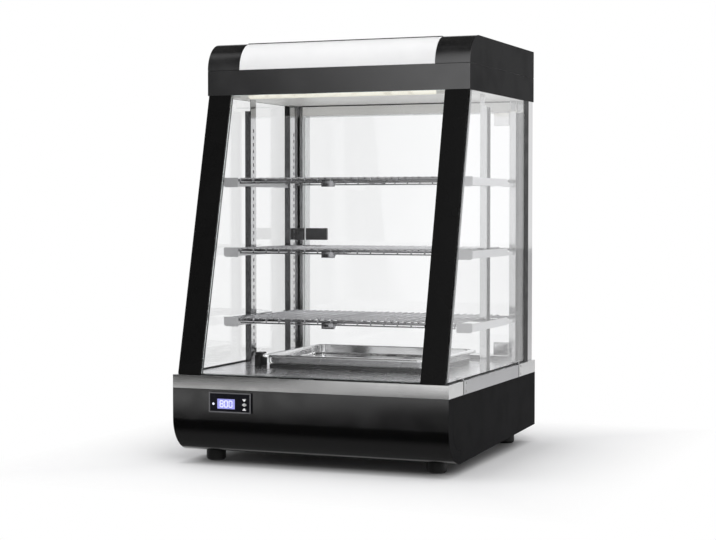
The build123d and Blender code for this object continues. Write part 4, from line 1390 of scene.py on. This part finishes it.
@dataclass
class Shelving:
    """Slotted uprights, arms and wire shelves. Sizes are in millimetres."""

    finishes: Finishes
    wire: float = 2.5
    rod: float = 5.0
    pitch: float = 12.5
    wires: int = 33
    sink: float = 0.4
    lip_drop: float = 11.0
    bend: float = 2.4
    bend_steps: int = 4
    middle_rod: float = 60.0
    brace_x: float = -31.0
    brace_width: float = 23.0
    brace_drop: float = 17.0
    brace_tab: float = 6.0
    brace_knee: float = 11.5
    brace_reach: float = 128.0
    sheet: float = 1.5
    levels: int = 3
    slots: int = 33
    slot_first: float = 26.9
    slot_width: float = 4.0
    slot_height: float = 6.0
    liner: float = 0.5

    def build(self) -> None:
        """Builds and dresses every piece."""
        look = self.finishes
        for row in ("front", "rear"):
            for side in ("left", "right"):
                node = f"upright_{row}_{side}"
                # The left uprights' faces that look ahead take the darker copy of the steel: painted shade.
                shaded = look.shaded if side == "left" else None
                eased(
                    node, look.steel_z, edge=0.25, steps=1, flank=shaded, chosen=looks_ahead
                )
                self.slot_shade_liners(node)
        for level in range(1, self.levels + 1):
            eased(f"shelf_arms_{level}", look.arm, edge=0.35)
            self.shelf(f"shelf_{level}", f"wire_shelf_{level}")

    def slot_shade_liners(self, node: str) -> None:
        """Dark plates that close the slots of an upright from behind: painted shade inside the slots.

        Args:
            node: The upright's node.
        """
        low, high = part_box(node)
        inner = min(low.x, high.x, key=abs)
        x = inner + math.copysign(self.sheet - self.liner / 2, inner) * MM
        size = Vector((self.liner, self.slot_width, self.slot_height)) * MM
        bm = bmesh.new()
        for row in range(self.slots):
            z = low.z + (self.slot_first + row * self.pitch) * MM
            block(bm, Vector((x, (low.y + high.y) / 2, z)), size)
        settle(f"{node}_liners", bm, self.finishes.plastic)

    def wire_line(self, low: Vector, high: Vector, turned_down: bool) -> list[Vector]:
        """The middle line of one wire from front to back.

        Args:
            low: Lowest corner of the shelf.
            high: Highest corner of the shelf.
            turned_down: Whether both its ends turn down onto the lower bars.

        Returns:
            The points of the line at the middle of the shelf.
        """
        half = self.wire / 2 * MM
        top = high.z - half
        if not turned_down:
            return [Vector((0, low.y, top)), Vector((0, high.y, top))]
        front, back = low.y + half, high.y - half
        bottom = high.z - self.lip_drop * MM + half
        corner = []
        for step in range(self.bend_steps + 1):
            turn = step / self.bend_steps * QUARTER_TURN
            corner.append(((1 - math.sin(turn)) * self.bend * MM, (1 - math.cos(turn)) * self.bend * MM))
        rise = [Vector((0, front + dy, top - dz)) for dz, dy in corner]
        fall = [Vector((0, back - dy, top - dz)) for dz, dy in reversed(corner)]
        return [Vector((0, front, bottom)), *rise, *fall, Vector((0, back, bottom))]

    def alternate_wires(self, bm: Mesh, low: Vector, high: Vector, turned_down: bool) -> None:
        """Every second wire of a shelf: those with turned ends, or the straight ones between.

        Args:
            bm: The mesh that they are added to.
            low: Lowest corner of the shelf.
            high: Highest corner of the shelf.
            turned_down: Whether their ends turn down.
        """
        bar = swept(bm, self.wire_line(low, high, turned_down), self.wire / 2 * MM, sides=8)
        faces = faces_round(bar)
        first = 0 if turned_down else 1
        left = (first - (self.wires - 1) / 2) * self.pitch * MM
        bmesh.ops.translate(bm, vec=(left, 0, 0), verts=bar)
        for step in range(1, (self.wires - first + 1) // 2):
            again = bmesh.ops.duplicate(bm, geom=bar + faces)["geom"]
            bmesh.ops.translate(bm, vec=(2 * step * self.pitch * MM, 0, 0), verts=verts_among(again))

    def shelf(self, node: str, body: str) -> None:
        """Round wires over round rods, with a folded brace, which stand for a shelf's node.

        Args:
            node: The shelf's node.
            body: The body that it rides on.
        """
        low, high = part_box(node)
        bm = bmesh.new()
        for turned_down in (True, False):
            self.alternate_wires(bm, low, high, turned_down)
        wire, rod = self.wire * MM, self.rod * MM
        rod_z = high.z - wire + self.sink * MM - rod / 2
        for y in (low.y + wire + rod / 2, self.middle_rod * MM, high.y - wire - rod / 2):
            swept(bm, [Vector((low.x, y, rod_z)), Vector((high.x, y, rod_z))], rod / 2, sides=16)
        lip_end = ((self.wires - 1) * self.pitch * MM + wire) / 2
        lip_z = high.z - self.lip_drop * MM + wire / 2
        for y in (low.y + wire / 2, high.y - wire / 2):
            swept(bm, [Vector((-lip_end, y, lip_z)), Vector((lip_end, y, lip_z))], wire / 2, sides=8)
        self.brace(bm, low, high, rod_z - rod / 2)
        piece = settle(f"{node}_wires", bm, self.finishes.wire, body)
        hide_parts(node)

    def brace(self, bm: Mesh, low: Vector, high: Vector, rod_bottom: float) -> None:
        """The folded brace under the wires: two cheeks, a web and a front tab.

        Args:
            bm: The mesh that it is added to.
            low: Lowest corner of the shelf.
            high: Highest corner of the shelf.
            rod_bottom: Underside of the rods.
        """
        sheet, tab = self.sheet * MM, self.brace_tab * MM
        top = rod_bottom + self.sink * MM
        under = rod_bottom - sheet
        front, foot = low.y, high.z - self.brace_drop * MM
        outline = (
            (front, top),
            (front, foot),
            (front + tab, foot),
            (front + 2 * tab, high.z - self.brace_knee * MM),
            (front + self.brace_reach * MM, under),
            (high.y, under),
            (high.y, top),
        )
        left = (self.brace_x - self.brace_width / 2) * MM
        right = (self.brace_x + self.brace_width / 2) * MM
        for x in (left, right - sheet):
            cheek = bm.faces.new([bm.verts.new((x, y, z)) for y, z in outline])
            raised(bm, [cheek], Vector((sheet, 0, 0)))
        plates = (
            (Vector((left, front, under + self.sink * MM)), Vector((right, high.y, top))),
            (Vector((left, front, foot)), Vector((right, front + sheet, top))),
        )
        for near, far in plates:
            block(bm, (near + far) / 2, far - near)


@dataclass
class HeatedFloor:
    """Heating plate, food tray and the guard of the temperature probe. Sizes are in millimetres."""

    finishes: Finishes
    corner: float = 24.0
    sheet: float = 0.9
    lip: Pair = (4.5, 3.2)  # its height, the height of its rounded part
    bowl: tuple[Pair, ...] = (  # inset and rise of each step inwards from the lip
        (0.24, 1.22),
        (0.69, 1.04),
        (1.04, 0.69),
        (1.22, 0.25),
        (6.2, 0.0),
        (1.2, -0.4),
        (0.8, -1.2),
        (1.2, -12.0),
        (1.0, -2.2),
        (2.2, -0.8),
    )

    def build(self) -> None:
        """Builds and dresses every piece."""
        look = self.finishes
        eased("heat_plate", look.cast, edge=0.8)
        eased("probe_guard", look.guard)
        self.tray()

    def tray(self) -> None:
        """Drawn tray with a flat rim and rounded folds, which stands for its node."""
        low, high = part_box("food_tray")
        middle = (low + high) / 2
        bottom = high.z - self.lip[0] * MM
        bm = bmesh.new()
        place = Matrix.Translation((middle.x, middle.y, bottom))
        face = rounded_face(bm, place, high.x - low.x, high.y - low.y, self.corner, steps=7)
        face = bmesh.ops.extrude_discrete_faces(bm, faces=[face])["faces"][0]
        bmesh.ops.translate(bm, vec=(0, 0, (self.lip[0] - self.lip[1]) * MM), verts=face.verts)
        for inset, rise in self.bowl:
            bmesh.ops.inset_region(bm, faces=[face], thickness=inset * MM, use_even_offset=True)
            bmesh.ops.translate(bm, vec=(0, 0, rise * MM), verts=face.verts)
        bmesh.ops.recalc_face_normals(bm, faces=bm.faces)
        # Faces of the front wall below the lip take the darker copy: painted shade under the lip.
        for side in bm.faces:
            spot = side.calc_center_median()
            in_painted_shade_wall = spot.y < middle.y and spot.z < bottom and abs(side.normal.y) > SQUARE_ON
            side.material_index = int(in_painted_shade_wall)
        piece = settle("food_tray_drawn", bm, self.finishes.tray, "tray")
        piece.data.materials.append(self.finishes.tray_wall_painted_shade)
        wall = piece.modifiers.new("sheet", "SOLIDIFY")
        wall.thickness = self.sheet * MM
        wall.offset = -1
        piece.modifiers.move(1, 0)
        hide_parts("food_tray")


@dataclass
class Controller:
    """Controller on the front: bezel, display with digits, lens and keys. Sizes are in millimetres."""

    finishes: Finishes
    rim_width: float = 2.2
    rim_height: float = 0.35
    rim_corner: float = 1.6
    window_sink: float = 1.2
    window_half: float = 16.75
    panel: Triple = (33.0, 16.8, 0.2)  # width, height, thickness
    panel_corner: float = 0.8
    digits: str = "800"
    digit_height: float = 10.4
    digit_width: float = 5.6
    digit_step: float = 8.4
    digit_rise: float = 0.15
    stroke: float = 1.3
    stroke_corner: float = 0.624
    stroke_gap: float = 0.25
    lens: Pair = (2.1, 0.6)  # radius, height
    lens_inset: float = 1.6
    lens_drop: float = 0.4
    mark_height: float = 0.12
    point: float = 3.0
    point_stretch: float = 1.4
    ring: Pair = (1.2, 2.45)  # inner radius, outer radius
    bar: Pair = (0.9, 1.8)  # width, height
    bar_corner: float = 0.3
    bar_place: float = 3.4
    segments: dict[str, str] = field(default_factory=lambda: {"8": "abcdefg", "0": "abcdef"})

    def build(self) -> None:
        """Builds and dresses every piece."""
        look = self.finishes
        eased("controller_bezel", look.bezel, steps=3)
        dress("controller_body", look.plastic)
        dress("controller_display", look.window)
        self.rim()
        self.display()
        for name in ("up", "set", "down"):
            eased(f"key_{name}", look.key)
        self.points()
        self.set_mark()

    def front_place(self, x: float, y: float, z: float) -> Matrix:
        """A plane that faces the customer, its X to their right and its Y up."""
        return Matrix.Translation((x, y, z)) @ Matrix.Rotation(QUARTER_TURN, 4, "X")

    def rim(self) -> None:
        """Raised rim round the front of the bezel, in lighter grey: a painted highlight along the bezel's
        edge.
        """
        low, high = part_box("controller_bezel")
        bm = bmesh.new()
        place = self.front_place((low.x + high.x) / 2, low.y, (low.z + high.z) / 2)
        face = rounded_face(bm, place, high.x - low.x, high.z - low.z, self.rim_corner, steps=4)
        bmesh.ops.inset_region(
            bm, faces=[face], thickness=self.rim_width * MM, use_boundary=True, use_even_offset=True
        )
        bmesh.ops.delete(bm, geom=[face], context="FACES")
        raised(bm, list(bm.faces), AHEAD * self.rim_height * MM)
        settle("bezel_rim_painted_highlight", bm, self.finishes.rim)

    def display(self) -> None:
        """Back-lit panel in the window, the digits on it and the indicator lens."""
        low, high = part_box("controller_display")
        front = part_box("controller_bezel")[0].y
        window_y = front + self.window_sink * MM
        x, z = high.x - self.window_half * MM, (low.z + high.z) / 2
        bm = bmesh.new()
        plate(bm, self.front_place(x, window_y, z), self.panel, self.panel_corner, steps=3)
        settle("display_backlight", bm, self.finishes.backlight)
        bm = bmesh.new()
        for index, digit in enumerate(self.digits):
            aside = (index - (len(self.digits) - 1) / 2) * self.digit_step * MM
            self.digit(bm, Vector((x + aside, window_y - self.panel[2] * MM, z)), self.segments[digit])
        settle("display_digits", bm, self.finishes.digit)
        bm = bmesh.new()
        place = Vector((low.x + self.lens_inset * MM, front, z - self.lens_drop * MM))
        turned(bm, Head.DOMED.profile(*self.lens), place, AHEAD)
        settle("indicator_lens", bm, self.finishes.digit)

    def digit(self, bm: Mesh, middle: Vector, lit: str) -> None:
        """One digit of pointed bars.

        Args:
            bm: The mesh that it is added to.
            middle: Its middle, on the face that it lies on.
            lit: The letters of its lit bars.
        """
        wide, half = self.digit_width / 2, self.digit_height / 4
        bars = {
            "a": (0, 2 * half, False),
            "b": (wide, half, True),
            "c": (wide, -half, True),
            "d": (0, -2 * half, False),
            "e": (-wide, -half, True),
            "f": (-wide, half, True),
            "g": (0, 0, False),
        }
        for letter in lit:
            dx, dz, upright = bars[letter]
            length = 2 * (half if upright else wide) - self.stroke_gap
            place = self.front_place(middle.x + dx * MM, middle.y, middle.z + dz * MM)
            if upright:
                place = place @ Matrix.Rotation(QUARTER_TURN, 4, "Z")
            plate(bm, place, (length, self.stroke, self.digit_rise), self.stroke_corner, steps=1)

    def points(self) -> None:
        """A raised point up on one key and a point down on another."""
        for name, turn in (("up", math.pi), ("down", 0.0)):
            low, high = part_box(f"key_{name}")
            bm = bmesh.new()
            place = self.front_place((low.x + high.x) / 2, low.y, (low.z + high.z) / 2)
            place = place @ Matrix.Diagonal((self.point_stretch, 1, 1, 1)) @ Matrix.Rotation(turn, 4, "Z")
            radius = self.point * MM
            made = bmesh.ops.create_circle(bm, cap_ends=True, radius=radius, segments=3, matrix=place)
            raised(bm, list(made["verts"][0].link_faces), AHEAD * self.mark_height * MM)
            settle(f"key_mark_{name}", bm, self.finishes.glowing_symbol, f"{name}_key")

    def set_mark(self) -> None:
        """A raised ring between two bars on the middle key."""
        low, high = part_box("key_set")
        centre = Vector(((low.x + high.x) / 2, low.y, (low.z + high.z) / 2))
        bm = bmesh.new()
        turned(bm, ring_profile(self.ring, self.mark_height), centre, AHEAD, steps=24)
        for side in (-1, 1):
            place = self.front_place(centre.x + side * self.bar_place * MM, low.y, centre.z)
            plate(bm, place, (*self.bar, self.mark_height), self.bar_corner, steps=2)
        settle("key_mark_set", bm, self.finishes.glowing_symbol, "set_key")


@dataclass
class BackFittings:
    """Mains inlet and switch on the back. Sizes are in millimetres."""

    finishes: Finishes
    flange_screw: Pair = (2.4, 1.3)  # radius, height
    flange_inset: float = 5.0
    mark_sink: Pair = (2.6, 1.0)  # of the bar and of the ring, behind the rocker's furthest point
    mark_place: float = 5.4
    mark_height: float = 0.4
    bar: Pair = (0.7, 3.4)  # width, height
    bar_corner: float = 0.2
    ring: Pair = (1.2, 1.8)  # inner radius, outer radius

    def build(self) -> None:
        """Builds and dresses every piece."""
        look = self.finishes
        eased("power_inlet", look.plastic, edge=0.3)
        eased("switch_frame", look.plastic)
        eased("switch_rocker", look.bezel, edge=0.3)
        self.flange_screws()
        self.rocker_marks()

    def flange_screws(self) -> None:
        """The two screws of the inlet's flange."""
        low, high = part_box("power_inlet")
        inset = self.flange_inset * MM
        places = [Vector((x, high.y, (low.z + high.z) / 2)) for x in (low.x + inset, high.x - inset)]
        back_screws("inlet_screws", self.finishes.screw, places, self.flange_screw)

    def rocker_marks(self) -> None:
        """A bar on the upper half of the rocker and a ring on the lower half."""
        low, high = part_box("switch_rocker")
        middle = (low + high) / 2
        upper, lower = (
            Vector((middle.x, high.y - sink * MM, middle.z + side * self.mark_place * MM))
            for sink, side in zip(self.mark_sink, (1, -1))
        )
        bm = bmesh.new()
        place = Matrix.Translation(upper) @ Matrix.Rotation(-QUARTER_TURN, 4, "X")
        plate(bm, place, (*self.bar, self.mark_height), self.bar_corner, steps=2)
        turned(bm, ring_profile(self.ring, self.mark_height), lower, BACK, steps=20)
        settle("rocker_marks", bm, self.finishes.glowing_symbol, "rocker")


@dataclass(frozen=True)
class Room:
    """The room round the case, which lights it and shows in its mirrors.

    Lengths are in metres, and bearings in degrees from straight ahead to the left.
    """

    wall: Colour = (0.98, 0.98, 0.99, 1.0)
    shade: tuple[float, ...] = (18.5, 27.0, 42.0, 55.0)
    shade_colour: Colour = grey(0.07)
    slit: tuple[float, ...] = (21.0, 22.0, 27.2, 28.2)
    slit_colour: Colour = grey(0.005)
    slit_top: Span = (0.055, 0.065)
    ceiling: Colour = (0.45, 0.45, 0.46, 1.0)
    ceiling_mirrored: Colour = grey(0.03)
    ceiling_span: Span = (0.72, 0.93)
    ceiling_drop: float = 0.42
    back_span: Span = (-0.1, 0.3)
    near_span: Span = (0.27, 0.32)
    near_colours: tuple[Colour, Colour] = (grey(0.085), grey(0.01))
    card_span: Span = (0.86, 1.26)
    lit_span: Span = (0.16, 0.56)
    lit_colours: tuple[Colour, Colour] = (grey(0.05), grey(1.1))
    sweep_bearings: Span = (3.0, 24.0)
    sweep_colours: tuple[Colour, Colour] = (grey(1.7), grey(0.02))
    sweep_span: Span = (1.44, 1.48)
    sweep_slant: float = 0.1
    far_span: Span = (1.75, 1.95)

    def bearings(self, tree: ShaderTree, place: Parts) -> tuple[Socket, Socket, Socket]:
        """How a place lies from the case.

        Args:
            tree: The tree.
            place: A direction or a place on the floor, taken apart.

        Returns:
            How far ahead it lies, how far left, and its bearing in radians.
        """
        ahead = tree.times(place["Y"], -1.0)
        left = tree.times(place["X"], -1.0)
        return ahead, left, tree.math("ARCTAN2", left, ahead)

    def between(self, tree: ShaderTree, bearing: Socket, stops: tuple[float, ...]) -> Socket:
        """How far a bearing lies in a sector, from 0 to 1.

        Args:
            tree: The tree.
            bearing: The bearing, in radians.
            stops: Where the sector starts, is full, is last full and ends, in degrees.

        Returns:
            The share.
        """
        start, full, last, end = (math.radians(stop) for stop in stops)
        return tree.times(tree.spread(bearing, start, full), tree.spread(bearing, last, end, 1.0, 0.0))

    def walls(self, tree: ShaderTree, bearing: Socket, low: object) -> Socket:
        """The pale walls, with a dark sector to the front left.

        Args:
            tree: The tree.
            bearing: The bearing, in radians.
            low: The share of the narrow, darkest part that shows.

        Returns:
            The colour.
        """
        shaded = tree.blend(self.between(tree, bearing, self.shade), self.wall, self.shade_colour)
        narrow = tree.times(self.between(tree, bearing, self.slit), low)
        return tree.blend(narrow, shaded, self.slit_colour)

    def mirrored_floor(self, tree: ShaderTree, place: Parts) -> Socket:
        """The floor as metal and paint mirror it: cards before the case, a sweep, then the walls.

        Args:
            tree: The tree.
            place: The place on the floor, taken apart.

        Returns:
            The colour.
        """
        ahead, left, bearing = self.bearings(tree, place)
        near = tree.ramp(ahead, self.near_span, *self.near_colours)
        lit = tree.ramp(left, self.lit_span, *self.lit_colours)
        cards = tree.ramp(ahead, self.card_span, near, lit)
        share = tree.spread(bearing, *(math.radians(end) for end in self.sweep_bearings))
        sweep = tree.blend(share, *self.sweep_colours)
        outer = tree.ramp(ahead, self.far_span, sweep, self.walls(tree, bearing, 1.0))
        slanted = tree.math("ADD", ahead, tree.times(share, self.sweep_slant))
        return tree.ramp(slanted, self.sweep_span, cards, outer)

    def surround(self, tree: ShaderTree, way: Parts, mirrored: Socket) -> Socket:
        """The walls and the ceiling, which comes down lower behind the case.

        Args:
            tree: The tree.
            way: The direction, taken apart.
            mirrored: 1 where a mirror shows it, otherwise 0.

        Returns:
            The colour.
        """
        low = tree.spread(way["Z"], *self.slit_top, 1.0, 0.0)
        walls = self.walls(tree, self.bearings(tree, way)[2], low)
        ceiling = tree.blend(mirrored, self.ceiling, self.ceiling_mirrored)
        behind = tree.spread(way["Y"], *self.back_span, 0.0, self.ceiling_drop)
        return tree.ramp(tree.math("ADD", way["Z"], behind), self.ceiling_span, walls, ceiling)


@dataclass
class Studio:
    """Floor, light and camera.

    Lengths are in metres, the lens and the sensor in millimetres, and the camera's angles in degrees.
    """

    room: Room = Room()
    eye: Triple = (1.12044, -2.813375, 0.43887)
    turn: float = 21.86
    tip: float = 2.1
    lens: float = 84.774
    sensor: float = 36.0
    aim: Triple = (0.0, 0.0, 0.35)
    floor_size: float = 30.0
    floor_colours: tuple[Colour, Colour] = (grey(0.88), grey(0.9))
    floor_mottle: float = 3.0
    floor_span: Span = (0.3, 0.7)
    floor_roughness: float = 0.6
    floor_shine: float = 0.1
    footprint: float = 0.25
    shadow_span: Span = (-0.06, 0.0)
    shadow_colour: Colour = grey(0.3)
    fade_span: Span = (0.03, 0.3)
    mirrored_span: Span = (-0.2, -0.18)

    def build(self) -> None:
        """Builds the studio."""
        self.camera()
        self.floor()
        self.world()
        self.lamp("key_lamp", (1.9, -2.6, 2.3), size=1.6, power=34.0)
        self.lamp("fill_lamp", (-2.6, -0.6, 1.9), size=1.8, power=16.0)
        self.lamp("top_lamp", (0.0, -0.1, 2.8), size=1.6, power=22.0)

    def camera(self) -> None:
        """Camera at the photograph's viewing angle."""
        data = bpy.data.cameras.new("camera")
        data.sensor_width = self.sensor
        data.lens = self.lens
        camera = bpy.data.objects.new("camera", data)
        camera.location = self.eye
        camera.rotation_euler = (math.radians(90 - self.tip), 0, math.radians(self.turn))
        bpy.context.scene.collection.objects.link(camera)
        bpy.context.scene.camera = camera

    def lamp(self, name: str, place: Triple, size: float, power: float) -> None:
        """A square soft lamp that looks at the case and that no mirror shows.

        Args:
            name: The lamp's name.
            place: Where it hangs.
            size: The length of its side.
            power: Its power in watts.
        """
        data = bpy.data.lights.new(name, "AREA")
        data.size = size
        data.energy = power
        lamp = bpy.data.objects.new(name, data)
        lamp.visible_glossy = False
        lamp.location = place
        lamp.rotation_euler = (Vector(self.aim) - Vector(place)).to_track_quat("-Z", "Y").to_euler()
        bpy.context.scene.collection.objects.link(lamp)

    def floor(self) -> None:
        """Large square floor under the case."""
        bm = bmesh.new()
        bmesh.ops.create_grid(bm, x_segments=2, y_segments=2, size=self.floor_size / 2)
        mesh = bpy.data.meshes.new("floor")
        bm.to_mesh(mesh)
        bm.free()
        mesh.materials.append(self.floor_finish())
        floor = bpy.data.objects.new("floor", mesh)
        bpy.context.scene.collection.objects.link(floor)

    def floor_finish(self) -> Material:
        """Pale floor that keeps the shadow of the case, darkened under it as painted shadow, and fades to
        white further out.

        Returns:
            The material.
        """
        material, tree, shader, vector = start_material("pale_floor")
        place = tree.split(vector)
        beside, before = (
            tree.math("SUBTRACT", tree.math("ABSOLUTE", place[axis]), self.footprint) for axis in "XY"
        )
        away = tree.math("MAXIMUM", beside, before)
        pale = tree.ramp(tree.noise(vector, self.floor_mottle), self.floor_span, *self.floor_colours)
        # Under the case the floor's colour goes down to shadow_colour: painted shadow.
        tree.fill(
            shader,
            Base_Color=tree.ramp(away, self.shadow_span, self.shadow_colour, pale),
            Roughness=self.floor_roughness,
            Specular_IOR_Level=self.floor_shine,
        )
        path = tree.node("ShaderNodeLightPath").outputs
        seen = tree.math("MAXIMUM", path["Is Camera Ray"], path["Is Transmission Ray"])
        white = tree.times(tree.spread(away, *self.fade_span), seen)
        ahead = tree.spread(place["Y"], *self.mirrored_span, 1.0, 0.0)
        mirrored = tree.times(ahead, path["Is Glossy Ray"])
        glow = tree.node("ShaderNodeEmission")
        tree.fill(glow, Color=tree.blend(mirrored, WHITE, self.room.mirrored_floor(tree, place)))
        tree.surface(tree.math("MAXIMUM", white, mirrored), shader, glow)
        return material

    def world(self) -> None:
        """White backdrop for the camera, also through glass, and the room for everything else."""
        world = bpy.data.worlds.new("studio")
        bpy.context.scene.world = world
        world.use_nodes = True
        tree = ShaderTree(world.node_tree)
        back = next(n for n in world.node_tree.nodes if n.type == "BACKGROUND")
        way = tree.split(tree.node("ShaderNodeTexCoord").outputs["Generated"])
        path = tree.node("ShaderNodeLightPath").outputs
        room = self.room.surround(tree, way, path["Is Glossy Ray"])
        bounced = tree.math("ADD", path["Glossy Depth"], path["Diffuse Depth"])
        through = tree.times(path["Is Transmission Ray"], tree.math("LESS_THAN", bounced, 0.5))
        seen = tree.math("MAXIMUM", path["Is Camera Ray"], through)
        tree.fill(back, Color=tree.blend(seen, room, WHITE), Strength=1.0)
        bpy.context.scene.view_settings.view_transform = "Standard"


def main() -> None:
    """Builds the case and its studio."""
    logging.basicConfig(level=logging.INFO, format="%(message)s")
    EffectLibrary().build()
    finishes = Finishes()
    Studio().build()
    Base(finishes).build()
    panes = GlassCase(finishes)
    panes.build()
    RearDoor(finishes, panes).build()
    Hood(finishes).build()
    Shelving(finishes).build()
    HeatedFloor(finishes).build()
    Controller(finishes).build()
    BackFittings(finishes).build()


if __name__ == "__main__":
    main()
